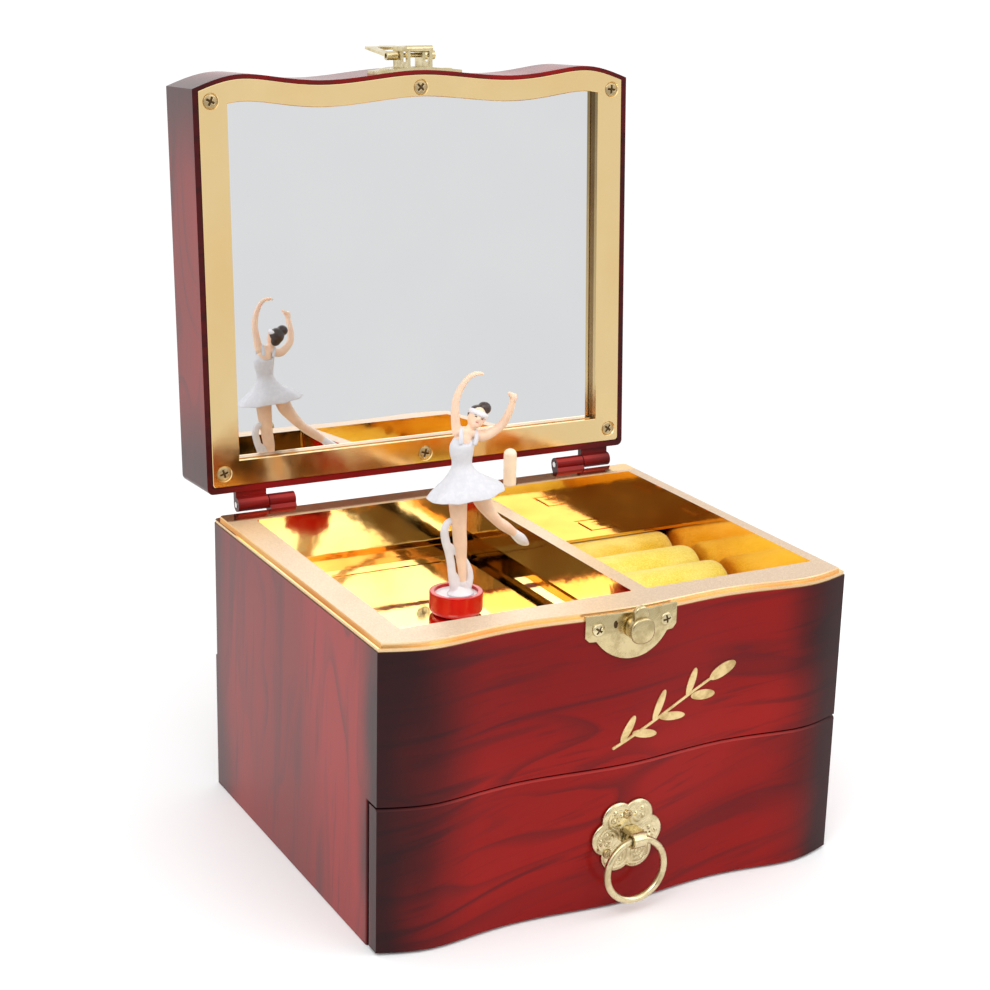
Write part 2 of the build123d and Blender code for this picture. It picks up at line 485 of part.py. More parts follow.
frame = wavy_block(78.0, lid_front + 1.5, lid_rear - 2.2, lid_face_z, lid_face_z + 2.0, 1.2)
window = wavy_block(68.5, lid_front + 8.6, lid_rear - 10.8, lid_face_z - 1, lid_face_z + 3)
frame = frame - window
frame = chamfer(frame.faces().sort_by(Axis.Z)[0].edges(), 0.2)
lid_y = lid_rear
screw_spots = [(-74.0, 128.0), (0.0, 130.6), (74.0, 128.0), (-74.0, 6.7), (0.0, 5.7), (74.0, 6.7)]
lid_screws = []
for x, u in screw_spots:
    seat = Pos(x, lid_y - u, lid_face_z) * Rot(180, 0, 0)
    frame = frame - seat * countersink(2.75, 1.9)
    shell = shell - seat * countersink(2.75, 1.9)
    lid_screws.append(seat * screw_head(2.75, 1.9))
mirror = wavy_block(72.3, lid_front + 8.2, lid_rear - 8.6, lid_face_z + mirror_inset, lid_face_z + 5.8)
mirror = mirror - block(-90, 90, -90, 90, 90, lid_face_z + mirror_inset)
mirror_board = wavy_block(72.3, lid_front + 8.2, lid_rear - 8.6, lid_face_z + 5.85, lid_top - 5.05)
mirror_board = mirror_board - wavy_block(66.0, lid_front + 14, lid_rear - 14, lid_face_z + 8.8, lid_top)
surround = wavy_block(72.3, lid_front + 8.2, lid_rear - 8.6, lid_face_z + 2.1, lid_face_z + 3.78)
surround = surround - wavy_block(68.8, lid_front + 8.4, lid_rear - 11.1, lid_face_z, lid_face_z + 5)

leaf_crown = (Pos(0, lid_face_z + 0.5) * Circle(14.5)) & (Pos(0, lid_face_z + 10.5) * Rectangle(40.0, 12.0))
leaf_shape = Pos(0, lid_face_z + 4.8) * Rectangle(31.2, 8.6) + leaf_crown
leaf = front_cut(leaf_shape) & skin(lid_front, 0.9, 95, 115)
leaf = leaf - block(-20, 20, -90, -50, 90, lid_face_z + 0.5)
leaf = leaf.solids().sort_by(SortBy.VOLUME)[-1]
leaf_y = lid_front - wave_crest
side_plate = block(-4.6, -3.5, leaf_y - 7.5, leaf_y - 0.7, lid_face_z + 0.6, lid_face_z + 12.0)
side_plate = side_plate - block(-6, -2, leaf_y - 6.0, leaf_y - 2.6, lid_face_z + 2.2, lid_face_z + 6.0)
bridge = side_plate + Pos(8.1, 0, 0) * side_plate
bridge = bridge + block(-4.6, 4.6, leaf_y - 7.5, leaf_y - 6.1, lid_face_z + 0.6, lid_face_z + 12.0)
bridge = bridge + rod((-4.8, leaf_y - 6.9, lid_face_z + 1.5), (4.8, leaf_y - 6.9, lid_face_z + 1.5), 1.1)
flap_y, flap_z = leaf_y - 4.6, lid_face_z + 8.4
bridge = bridge - rod((-6, flap_y, flap_z), (6, flap_y, flap_z), 0.8)
leaf = (leaf + bridge).solids().sort_by(SortBy.VOLUME)[-1]
hasp_pin = rod((-7.4, flap_y, flap_z), (7.4, flap_y, flap_z), 0.75)
rivets = []
for x in (-11.6, 11.6):
    spot_y = lid_front - 3.2
    head = rod((x, spot_y + 0.2, lid_face_z + 4.0), (x, spot_y - 1.4, lid_face_z + 4.0), 1.9)
    head = fillet(head.faces().sort_by(Axis.Y)[0].edges(), 0.5)
    leaf = leaf - rod((x, -80, lid_face_z + 4.0), (x, -62, lid_face_z + 4.0), 1.9)
    shell = shell - rod((x, spot_y + 0.25, lid_face_z + 4.0), (x, -80, lid_face_z + 4.0), 1.9)
    rivets.append(head.solids()[0])
shell = shell.solids().sort_by(SortBy.VOLUME)[-1]
leaf = leaf.solids().sort_by(SortBy.VOLUME)[-1]

# the flap is drawn straight up from its pin, then leaned outward a little
sheet = Pos(0, flap_z + 8.2) * Rectangle(17.8, 17.6) - Pos(0, flap_z + 5.6) * Rectangle(10.6, 18.0)
sheet = sheet + Pos(0, flap_z + 16.6) * Rectangle(6.0, 3.2)
flap = front_cut(sheet, flap_y - 0.45, flap_y + 0.45)
for x0, x1 in ((-8.9, -5.0), (5.0, 8.9)):
    flap = flap + rod((x0, flap_y, flap_z), (x1, flap_y, flap_z), 1.5)
    flap = flap - rod((x0 - 1, flap_y, flap_z), (x1 + 1, flap_y, flap_z), 0.8)
flap = flap - block(-5.0, 5.0, -90, -60, flap_z - 3, flap_z + 12)
flap = Pos(0, flap_y, flap_z) * Rot(7.5, 0, 0) * Pos(0, -flap_y, -flap_z) * flap
flap = flap.solids().sort_by(SortBy.VOLUME)[-1]


def opened(shape):
    """Turn a piece of the shut lid up to the lid's open rest."""
    return Pos(0, hinge_y, hinge_z) * Rot(-lid_open_deg, 0, 0) * Pos(0, -hinge_y, -hinge_z) * shape


pins = [rod((-70.2, hinge_y, hinge_z), (-49.3, hinge_y, hinge_z), 1.0)]
pins.append(rod((51.8, hinge_y, hinge_z), (74.2, hinge_y, hinge_z), 1.0))

# ------------------------------------------------------------------ export
save(case, "case_shell")
save(case_base, "case_base")
save(base_screws, "base_screws")
save(shelf, "drawer_shelf")
save(runners, "drawer_runners")
save(tray, "gilt_tray")
save(tub, "stage_tub")
save(stage_plate, "stage_plate")
save(pad_base, "ring_pad_base")
for index, roll in enumerate(rolls):
    save(roll, "ring_roll_" + str(index + 1))
save(peg_guide, "peg_guide")
save(stop_peg, "stop_peg")
save(latch_plate, "latch_plate")
save(Compound(children=latch_screws), "latch_screws")
save(catch, "latch_catch")
save(front_ornament, "front_ornament")
save(Compound(children=pins), "hinge_pins")
save(drawer_front, "drawer_front")
save(drawer_box, "drawer_box")
save(lining, "drawer_lining")
save(Compound(children=drawer_screws), "drawer_screws")
save(rosette, "pull_rosette")
save(Compound(children=rosette_screws), "rosette_screws")
save(staple, "pull_staple")
save(pull_ring, "pull_ring")
save(bedplate, "bedplate")
save(Compound(children=movement_screws), "movement_screws")
save(comb, "music_comb")
save(Compound(children=comb_screws), "comb_screws")
save(cylinder, "music_cylinder")
save(barrel, "spring_barrel")
save(winding_key, "winding_key")
save(train_wheel, "train_wheel")
save(governor, "governor")
save(gear_case, "gear_case")
save(magnet_arm, "magnet_arm")
save(dancer_magnet, "dancer_magnet")
save(cup, "dancer_cup")
save(disc, "dancer_disc")
save(prop, "dancer_prop")
save(legs, "dancer_legs")
save(slippers, "dancer_slippers")
save(dress, "dancer_dress")
save(torso, "dancer_torso")
save(hair, "dancer_hair")
save(opened(shell), "lid_shell")
save(opened(frame), "lid_frame")
save(Compound(children=[opened(s) for s in lid_screws]), "lid_frame_screws")
save(opened(mirror), "lid_mirror")
save(opened(mirror_board), "mirror_board")
save(opened(surround), "mirror_surround")
save(opened(leaf), "hasp_leaf")
save(Compound(children=[opened(r) for r in rivets]), "hasp_rivets")
save(opened(hasp_pin), "hasp_pin")
save(opened(flap), "hasp_flap")
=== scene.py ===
import math
import random

import bpy
from mathutils import Matrix, Vector


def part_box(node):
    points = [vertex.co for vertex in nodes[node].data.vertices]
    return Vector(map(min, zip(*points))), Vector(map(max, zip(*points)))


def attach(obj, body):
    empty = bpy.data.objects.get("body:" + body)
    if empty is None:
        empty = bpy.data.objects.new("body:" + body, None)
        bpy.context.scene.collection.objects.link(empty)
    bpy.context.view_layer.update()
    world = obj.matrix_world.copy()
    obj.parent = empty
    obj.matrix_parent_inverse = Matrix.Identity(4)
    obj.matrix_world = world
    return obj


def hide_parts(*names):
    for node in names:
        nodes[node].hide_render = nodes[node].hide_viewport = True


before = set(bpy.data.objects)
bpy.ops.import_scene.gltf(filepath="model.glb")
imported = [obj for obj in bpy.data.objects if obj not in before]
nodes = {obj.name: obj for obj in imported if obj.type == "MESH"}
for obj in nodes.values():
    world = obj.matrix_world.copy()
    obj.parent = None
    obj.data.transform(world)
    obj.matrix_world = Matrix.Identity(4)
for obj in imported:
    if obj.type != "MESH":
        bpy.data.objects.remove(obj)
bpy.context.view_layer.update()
MM = 0.001


# ---- node helpers
def put(node, **values):
    """Set inputs of a node by name, with _ for a space."""
    for name, value in values.items():
        node.inputs[name.replace("_", " ")].default_value = value


def modify(o, kind, **values):
    """Add a modifier and set its properties."""
    m = o.modifiers.new(kind.lower(), kind)
    for name, value in values.items():
        setattr(m, name, value)
    return m


class Mat:
    """A small builder for node materials."""

    def __init__(self, name, **sockets):
        self.m = bpy.data.materials.new(name)
        self.m.use_nodes = True
        self.nt = self.m.node_tree
        self.nt.nodes.clear()
        self.out = self.nt.nodes.new("ShaderNodeOutputMaterial")
        self.bsdf = self.nt.nodes.new("ShaderNodeBsdfPrincipled")
        self.nt.links.new(self.bsdf.outputs[0], self.out.inputs[0])
        for k, v in sockets.items():
            self.set(k.replace("_", " "), v)

    def set(self, socket, value):
        s = self.bsdf.inputs[socket]
        if s.type == "RGBA":
            value = (*value, 1.0)
        s.default_value = value

    def node(self, kind, **attrs):
        n = self.nt.nodes.new(kind)
        for k, v in attrs.items():
            setattr(n, k, v)
        return n

    def link(self, a, b):
        self.nt.links.new(a, b)

    def feed(self, socket, value):
        if hasattr(value, "is_linked"):
            self.link(value, socket)
        else:
            socket.default_value = value

    def coords(self, scale=(1, 1, 1), rot=(0, 0, 0), loc=(0, 0, 0)):
        """Object coordinates, turned first and then stretched."""
        tc = self.node("ShaderNodeTexCoord")
        turn = self.node("ShaderNodeMapping")
        turn.inputs["Rotation"].default_value = [math.radians(a) for a in rot]
        self.link(tc.outputs["Object"], turn.inputs["Vector"])
        mp = self.node("ShaderNodeMapping")
        put(mp, Scale=scale, Location=loc)
        self.link(turn.outputs["Vector"], mp.inputs["Vector"])
        return mp.outputs["Vector"]

    def parts(self, vector):
        s = self.node("ShaderNodeSeparateXYZ")
        self.link(vector, s.inputs[0])
        return s.outputs

    def xyz(self):
        return self.parts(self.node("ShaderNodeTexCoord").outputs["Object"])

    def normal(self):
        return self.parts(self.node("ShaderNodeNewGeometry").outputs["Normal"])

    def noise(self, vector, scale, detail=3.0, rough=0.5, distortion=0.0):
        n = self.node("ShaderNodeTexNoise")
        self.link(vector, n.inputs["Vector"])
        put(n, Scale=scale, Detail=detail, Roughness=rough, Distortion=distortion)
        return n.outputs["Fac"]

    def voronoi(self, vector, scale):
        n = self.node("ShaderNodeTexVoronoi")
        self.link(vector, n.inputs["Vector"])
        n.inputs["Scale"].default_value = scale
        return n.outputs

    def ramp(self, fac, *stops):
        n = self.node("ShaderNodeValToRGB")
        e = n.color_ramp.elements
        while len(e) > 1:
            e.remove(e[-1])
        for i, (pos, col) in enumerate(stops):
            el = e[0] if i == 0 else e.new(pos)
            el.position = pos
            el.color = (*col, 1.0) if isinstance(col, tuple) else (col, col, col, 1.0)
        self.link(fac, n.inputs["Fac"])
        return n.outputs["Color"]

    def span(self, value, a, b, to0=0.0, to1=1.0):
        n = self.node("ShaderNodeMapRange", interpolation_type="SMOOTHSTEP")
        self.feed(n.inputs["Value"], value)
        put(n, From_Min=a, From_Max=b, To_Min=to0, To_Max=to1)
        return n.outputs["Result"]

    def math(self, op, a, b=0.0):
        n = self.node("ShaderNodeMath", operation=op)
        self.feed(n.inputs[0], a)
        self.feed(n.inputs[1], b)
        return n.outputs[0]

    def mix(self, fac, a, b, blend="MIX"):
        n = self.node("ShaderNodeMix", data_type="RGBA", blend_type=blend)
        self.feed(n.inputs["Factor"], fac)
        ins = [s for s in n.inputs if s.type == "RGBA"]
        for s, v in zip(ins, (a, b)):
            if isinstance(v, tuple):
                s.default_value = (*v, 1.0)
            else:
                self.link(v, s)
        return [o for o in n.outputs if o.type == "RGBA"][0]

    def color(self, value):
        self.link(value, self.bsdf.inputs["Base Color"])

    def rough(self, value):
        self.link(value, self.bsdf.inputs["Roughness"])

    def bump(self, height, strength=0.2, distance=0.0002):
        n = self.node("ShaderNodeBump")
        put(n, Strength=strength, Distance=distance)
        self.link(height, n.inputs["Height"])
        self.link(n.outputs[0], self.bsdf.inputs["Normal"])


def lacquer(name, tilt, rings=8.0, burst="case", shift=0.0):
    """Cherry-red lacquered veneer: growth-ring grain, edges sprayed near black, a clear glossy coat."""
    m = Mat(name, Roughness=0.45, Coat_Roughness=0.04, Coat_IOR=1.5, Specular_IOR_Level=0.06)
    n = m.normal()
    side = m.span(m.math("ABSOLUTE", n["X"]), 0.62, 0.80)
    facing = m.span(n["Y"], -0.45, -0.75)
    m.link(m.span(facing, 0.0, 1.0, 0.50, 0.12), m.bsdf.inputs["Coat Weight"])

    def blend_vectors(front_vec, side_vec):
        vec = m.node("ShaderNodeMix", data_type="VECTOR")
        m.link(side, vec.inputs[0])
        ins = [s for s in vec.inputs if s.type == "VECTOR" and s.name in "AB"]
        m.link(front_vec, ins[0])
        m.link(side_vec, ins[1])
        return [o for o in vec.outputs if o.type == "VECTOR"][0]

    slow = blend_vectors(
        m.coords((6, 9, 34), (0, tilt, 0), (1.3 + shift, 0.4, 2.1)),
        m.coords((9, 24, 7), (-4, 0, 0), (3.3, 1.1 + shift, 0.2)),
    )
    long = blend_vectors(
        m.coords((14, 40, 210), (0, tilt, 0), (shift, 0, 0.7)),
        m.coords((40, 95, 11), (-5, 0, 0), (0.2, shift, 0)),
    )
    quick = blend_vectors(
        m.coords((34, 60, 430), (0, tilt, 0), (shift, 0, 0)),
        m.coords((60, 330, 22), (-5, 0, 0), (0, shift, 0)),
    )
    field = m.noise(slow, 1.0, 1.5, 0.4, 0.5)
    cycle = m.math("FRACT", m.math("MULTIPLY", field, rings))
    ring = m.ramp(cycle, (0.0, 0.5), (0.06, 0.0), (0.72, 0.0), (1.0, 0.8))
    patch = m.noise(slow, 0.7, 1.0, 0.4)
    bands = m.noise(long, 1.0, 2.0, 0.5, 0.7)
    fibres = m.noise(quick, 1.0, 3.0, 0.6, 0.4)
    base = m.ramp(
        patch,
        (0.30, (0.155, 0.0050, 0.0050)),
        (0.50, (0.205, 0.0065, 0.0060)),
        (0.72, (0.285, 0.0100, 0.0075)),
    )
    strength = m.span(m.noise(slow, 1.6, 1.0, 0.4), 0.38, 0.62, 0.08, 0.70)
    dark = m.math("MULTIPLY", ring, strength)
    dark = m.math("MAXIMUM", dark, m.span(bands, 0.52, 0.76, 0.0, 0.66))
    col = m.mix(dark, base, (0.062, 0.0075, 0.010))
    col = m.mix(m.span(fibres, 0.55, 0.72, 0.0, 0.50), col, (0.085, 0.007, 0.009))
    # painted highlight: faces turned up and forward, such as the drawer's top chamfer, are mixed towards a
    # brighter red
    painted_edge_highlight = m.math("MULTIPLY", m.span(n["Z"], 0.45, 0.62), m.span(n["Y"], -0.35, -0.5))
    col = m.mix(painted_edge_highlight, col, (0.34, 0.028, 0.024))
    p = m.xyz()
    ax = m.math("ABSOLUTE", p["X"])
    wob = m.span(m.noise(m.coords((26, 26, 15)), 1.0, 2.0), 0.2, 0.8, -0.007, 0.007)
    if burst == "case":
        front_edge = m.span(m.math("ADD", ax, wob), 0.050, 0.077)
        y2 = m.math("ADD", p["Y"], wob)
        front_corner = m.span(y2, -0.050, -0.064)
        rear_corner = m.math("MULTIPLY", m.span(y2, 0.042, 0.064), 0.75)
        side_edge = m.math("MAXIMUM", front_corner, rear_corner)
    else:
        front_edge = m.math("MULTIPLY", m.span(ax, 0.060, 0.079), 0.8)
        z2 = m.math("ADD", p["Z"], wob)
        side_edge = m.math("MAXIMUM", m.span(z2, 0.195, 0.235), m.span(z2, 0.140, 0.104))
        side_edge = m.math("MULTIPLY", side_edge, 0.85)
    flat = m.math("SUBTRACT", 1.0, side)
    edge = m.math("ADD", m.math("MULTIPLY", front_edge, flat), m.math("MULTIPLY", side_edge, side))
    m.color(m.mix(m.math("MULTIPLY", edge, 0.93), col, (0.014, 0.006, 0.007)))
    m.bump(m.math("ADD", m.math("MULTIPLY", dark, 0.4), fibres), 0.03, 0.0001)
    return m.m


def polished_gold(name, tint=(0.93, 0.62, 0.25), rough=0.06, wobble=0.12, deep=(0.82, 0.44, 0.12)):
    """Vacuum-plated gold: nearly a mirror, with soft orange peel, haze and darker drifts."""
    m = Mat(name, Metallic=1.0, Specular_IOR_Level=0.6)
    v = m.coords()
    drift = m.noise(v, 26.0, 3.0, 0.5)
    peel = m.noise(v, 120.0, 2.0, 0.5)
    m.color(m.mix(m.span(drift, 0.40, 0.72), tint, deep))
    haze = m.noise(v, 60.0, 4.0, 0.6)
    m.rough(m.span(haze, 0.3, 0.8, rough * 0.7, rough * 1.9))
    m.bump(m.math("ADD", peel, m.math("MULTIPLY", drift, 2.0)), wobble, 0.0006)
    return m.m


def tray_gold(name):
    """The moulded tray: mirror gilt inside, a sanded satin rim top, half as satin on its outer faces."""
    m = Mat(name, Specular_IOR_Level=0.6)
    p = m.xyz()
    n = m.normal()
    v = m.coords()
    band = m.math("MULTIPLY", m.span(p["Z"], 0.0955, 0.0959), m.span(n["Z"], 0.75, 0.9))
    front = m.math("MULTIPLY", band, m.span(p["Y"], 0.0575, 0.0545))
    outside = m.math("MAXIMUM", m.span(m.math("MULTIPLY", n["X"], p["X"]), 0.050, 0.060),
                     m.math("MULTIPLY", m.span(p["Y"], -0.0600, -0.0605), m.span(n["Y"], -0.2, -0.4)))
    front = m.math("MAXIMUM", front, m.math("MULTIPLY", outside, 0.55))
    drift = m.noise(v, 26.0, 3.0, 0.5)
    peel = m.noise(v, 130.0, 2.0, 0.5)
    grit = m.noise(v, 2600.0, 2.0, 0.7)
    polished = m.mix(m.span(drift, 0.40, 0.72), (0.94, 0.62, 0.25), (0.84, 0.44, 0.12))
    satin = m.mix(m.span(grit, 0.35, 0.70), (0.60, 0.43, 0.28), (0.77, 0.58, 0.40))
    m.color(m.mix(front, polished, satin))
    m.link(m.span(front, 0.0, 1.0, 1.0, 0.45), m.bsdf.inputs["Metallic"])
    haze = m.noise(v, 60.0, 4.0, 0.6)
    smooth = m.span(haze, 0.3, 0.8, 0.05, 0.12)
    m.rough(m.math("ADD", smooth, m.math("MULTIPLY", front, 0.28)))
    swell = m.math("ADD", peel, m.math("MULTIPLY", drift, 2.0))
    height = m.math("ADD", swell, m.math("MULTIPLY", front, grit))
    m.bump(height, 0.12, 0.0005)
    return m.m


def stamped_brass(name, col=(0.72, 0.62, 0.38), rough=0.18, bump=0.35):
    """Stamped, lightly plated hardware with fine scratches, pits and dull patches."""
    m = Mat(name, Metallic=1.0, Specular_IOR_Level=0.55)
    v = m.coords()
    tone = m.noise(v, 260.0, 4.0, 0.6)
    scratch = m.noise(m.coords(scale=(500, 500, 3800), rot=(0, 35, 20)), 1.0, 2.0, 0.5)
    pits = m.voronoi(v, 1500.0)["Distance"]
    dull = (col[0] * 0.55, col[1] * 0.50, col[2] * 0.40)
    m.color(m.mix(m.span(tone, 0.42, 0.72, 0.0, 0.6), col, dull))
    wear = m.math("ADD", tone, m.math("MULTIPLY", scratch, 0.5))
    m.rough(m.span(wear, 0.45, 1.0, rough * 0.7, rough * 2.2))
    m.bump(m.math("ADD", m.math("MULTIPLY", tone, 0.8), m.math("MULTIPLY", pits, 0.25)), bump, 0.0001)
    return m.m


def plastic(name, col, rough=0.3, coat=0.0, mottled=0.05, scale=180.0, bump=0.08, sss=0.0, **extra):
    """Moulded plastic with faint flow marks and uneven gloss."""
    m = Mat(name, Coat_Weight=coat, Coat_Roughness=0.08, **extra)
    v = m.coords()
    flow = m.noise(v, scale, 3.0, 0.55)
    fine = m.noise(v, scale * 9.0, 2.0, 0.5)
    lo = tuple(c * (1 - mottled * 2.2) for c in col)
    hi = tuple(min(1.0, c * (1 + mottled)) for c in col)
    m.color(m.mix(m.span(flow, 0.35, 0.68), lo, hi))
    m.rough(m.span(fine, 0.3, 0.7, rough * 0.85, rough * 1.2))
    m.bump(m.math("ADD", flow, m.math("MULTIPLY", fine, 0.3)), bump, 0.00012)
    if sss:
        m.set("Subsurface Weight", sss)
        m.set("Subsurface Radius", (0.0012, 0.0006, 0.0004))
        m.set("Subsurface Scale", 0.6)
    return m.m


def glitter_cloth(name):
    """White moulded skirt dusted with fine glitter."""
    m = Mat(name, Specular_IOR_Level=0.4)
    v = m.coords()
    cells = m.voronoi(v, 7500.0)
    spark = m.span(cells["Distance"], 0.16, 0.10)
    tone = m.noise(v, 700.0, 3.0, 0.6)
    m.color(m.mix(m.span(tone, 0.35, 0.7), (0.66, 0.66, 0.70), (0.72, 0.715, 0.745)))
    m.rough(m.span(spark, 0.0, 1.0, 0.62, 0.12))
    m.bump(m.math("ADD", cells["Distance"], tone), 0.16, 0.00008)
    return m.m


def velvet(name, col=(0.93, 0.78, 0.15), deep=(0.74, 0.55, 0.06)):
    """Short-pile velvet: fuzzy bump, soft sheen, brushed patches."""
    m = Mat(name, Roughness=0.95, Specular_IOR_Level=0.15, Sheen_Weight=0.6, Sheen_Roughness=0.45)
    m.set("Sheen Tint", (1.0, 0.95, 0.62))
    v = m.coords()
    pile = m.noise(v, 2600.0, 2.0, 0.7)
    brushed = m.noise(m.coords(scale=(1, 2.2, 2.2)), 70.0, 3.0, 0.5)
    col2 = m.mix(m.span(pile, 0.35, 0.7), deep, col)
    m.color(m.mix(m.span(brushed, 0.35, 0.7, 0.0, 0.35), col2, (1.0, 0.90, 0.34)))
    m.bump(pile, 0.5, 0.00025)
    return m.m


def raw_board(name, col=(0.50, 0.34, 0.19)):
    """Pressed wood board with long fibres."""
    m = Mat(name, Roughness=0.75)
    v = m.coords(scale=(20, 180, 180))
    grain = m.noise(v, 2.0, 4.0, 0.6, 0.4)
    flecks = m.voronoi(m.coords(scale=(260, 700, 700)), 1.0)["Distance"]
    c = m.mix(m.span(grain, 0.3, 0.7), tuple(x * 0.72 for x in col), col)
    m.color(m.mix(m.span(flecks, 0.0, 0.35, 0.3, 0.0), c, (0.24, 0.15, 0.08)))
    m.bump(grain, 0.2, 0.0002)
    return m.m


def steel(name, col=(0.72, 0.71, 0.68), rough=0.24):
    """Bright steel with fine marks and faint stains."""
    m = Mat(name, Metallic=1.0)
    v = m.coords()
    marks = m.noise(m.coords(scale=(900, 900, 5200)), 1.0, 2.0, 0.5)
    stain = m.noise(v, 240.0, 3.0, 0.55)
    m.color(m.mix(m.span(stain, 0.4, 0.75, 0.0, 0.5), col, tuple(c * 0.55 for c in col)))
    m.rough(m.span(marks, 0.3, 0.7, rough * 0.7, rough * 1.5))
    m.bump(marks, 0.12, 0.00006)
    return m.m


def looking_glass(name):
    """Silvered glass with the faintest haze."""
    m = Mat(name, Metallic=1.0, Specular_IOR_Level=0.5)
    haze = m.noise(m.coords(), 22.0, 3.0, 0.5)
    m.color(m.mix(m.span(haze, 0.3, 0.7), (0.86, 0.872, 0.885), (0.885, 0.892, 0.90)))
    m.rough(m.span(haze, 0.3, 0.8, 0.0, 0.012))
    return m.m


def paint_all():
    """Give every CAD node its material, and return all materials by name."""
    wood_front = lacquer("cherry_lacquer_case", 5, 9.0)
    wood_drawer = lacquer("cherry_lacquer_drawer", 13, 9.0, shift=4.7)
    wood_lid = lacquer("cherry_lacquer_lid", 6, 9.0, burst="lid", shift=2.2)
    gold = tray_gold("gilt_tray_plating")
    well_gold = polished_gold("gilt_plating")
    stage = polished_gold("gilt_stage", (1.0, 0.97, 0.78), 0.045, 0.04, (1.0, 0.93, 0.68))
    lid_gold = polished_gold("lid_frame_gold", (0.95, 0.71, 0.36), 0.12, 0.04, (0.93, 0.67, 0.31))
    # painted reflection: the mirror surround's gold is made dark brown to stand for the dark it reflects
    gold_painted_dark_reflection = polished_gold("surround_gold_painted_dark_reflection", (0.46, 0.29, 0.12), 0.14, 0.06, (0.30, 0.16, 0.06))
    brass = stamped_brass("champagne_brass")
    steel_m = steel("screw_steel")
    lid_screw = stamped_brass("lid_screw_plating", (0.52, 0.40, 0.22), 0.20, 0.12)
    # painted shade: a near-black brass for the floors of screw recesses and the latch's slot
    recess = stamped_brass("screw_recess", (0.10, 0.06, 0.03), 0.35, 0.1)
    latch_brass = stamped_brass("latch_brass", (0.60, 0.49, 0.27), 0.16, 0.2)
    board = raw_board("pressed_board")
    table = {
        wood_front: ["case_shell"],
        wood_drawer: ["drawer_front"],
        wood_lid: ["lid_shell"],
        gold: ["gilt_tray"],
        well_gold: ["stage_tub"],
        gold_painted_dark_reflection: ["mirror_surround"],
        stage: ["stage_plate"],
        lid_gold: ["lid_frame"],
        brass: ["pull_rosette", "pull_staple", "pull_ring", "hasp_leaf", "hasp_flap",
                "hasp_pin", "hasp_rivets", "latch_screws", "rosette_screws"],
        stamped_brass("ornament_gilding", (0.78, 0.60, 0.30), 0.35, 0.1): ["front_ornament"],
        steel_m: ["base_screws", "drawer_screws", "movement_screws", "comb_screws",
                  "winding_key", "hinge_pins"],
        lid_screw: ["lid_frame_screws"],
        recess: [],
        latch_brass: ["latch_plate", "latch_catch"],
        steel("blue_spring_steel", (0.48, 0.50, 0.54), 0.22): ["music_comb"],
        board: ["case_base", "drawer_shelf", "drawer_runners", "ring_pad_base", "drawer_box",
                "mirror_board"],
        stamped_brass("movement_brass", (0.80, 0.58, 0.24), 0.25, 0.2): [
            "music_cylinder", "spring_barrel", "train_wheel"],
        plastic("cast_bed", (0.45, 0.45, 0.44), 0.5, 0.0, 0.15, 400.0, 0.3, Metallic=0.8): ["bedplate"],
        plastic("black_moulding", (0.02, 0.018, 0.018), 0.45): [
            "gear_case", "governor", "peg_guide", "magnet_arm"],
        plastic("ferrite", (0.05, 0.05, 0.055), 0.55): ["dancer_magnet"],
        looking_glass("silvered_glass"): ["lid_mirror"],
        plastic("cream_plastic", (0.95, 0.80, 0.64), 0.32, 0.2, 0.03, sss=0.3): ["stop_peg"],
        plastic("red_cup_plastic", (0.58, 0.0015, 0.002), 0.16, 0.3, 0.03, Specular_IOR_Level=0.25): [
            "dancer_cup"],
        plastic("white_plastic", (0.82, 0.80, 0.83), 0.35, 0.2, 0.03, sss=0.15): [
            "dancer_disc", "dancer_prop", "dancer_slippers"],
        plastic("doll_skin", (0.96, 0.68, 0.50), 0.42, 0.1, 0.04, sss=0.35): [
            "dancer_legs", "dancer_torso"],
        plastic("doll_hair", (0.045, 0.022, 0.016), 0.38, 0.2, 0.2, 900.0, 0.4): ["dancer_hair"],
        glitter_cloth("doll_dress"): ["dancer_dress"],
        # painted shade: the rear roll, half under the platform, gets a darker, more orange copy of the
        # yellow velvet
        velvet("deep_velvet", (0.88, 0.58, 0.05), (0.66, 0.38, 0.03)): ["ring_roll_1"],
        velvet("yellow_velvet"): [
            "ring_roll_2", "ring_roll_3", "ring_roll_4", "ring_roll_5", "drawer_lining"],
        plastic("doll_lip_paint", (0.55, 0.10, 0.09), 0.35, 0.2, 0.06, 900.0): [],
    }
    for m, names in table.items():
        m.use_fake_user = True
        for n in names:
            o = nodes[n]
            o.data.materials.clear()
            o.data.materials.append(m)
    missing = set(nodes) - set(n for names in table.values() for n in names)
    assert not missing, missing
    return {m.name.split(".")[0]: m for m in table}


mats = paint_all()


# ---- mesh helpers
def place(name, data):
    """A new object, linked into the scene."""
    o = bpy.data.objects.new(name, data)
    bpy.context.scene.collection.objects.link(o)
    return o


def add_object(name, verts, faces, smooth=True):
    """Millimetre points in, a linked Blender object out."""
    me = bpy.data.meshes.new(name)
    me.from_pydata([Vector(v) * MM for v in verts], [], faces)
    me.validate()
    me.update()
    o = place(name, me)
    for p in me.polygons:
        p.use_smooth = smooth
    return o


def bake(o):
    """Apply every modifier of an object to its mesh."""
    graph = bpy.context.evaluated_depsgraph_get()
    me = bpy.data.meshes.new_from_object(o.evaluated_get(graph))
    o.modifiers.clear()
    o.data = me
    for p in me.polygons:
        p.use_smooth = True
    return o


def finish_piece(o, body, slot, material, *replaced):
    """Material, body and the CAD nodes that a piece stands for; the slot argument is not used."""
    o.data.materials.clear()
    o.data.materials.append(mats[material])
    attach(o, body)
    if replaced:
        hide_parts(*replaced)
    return o


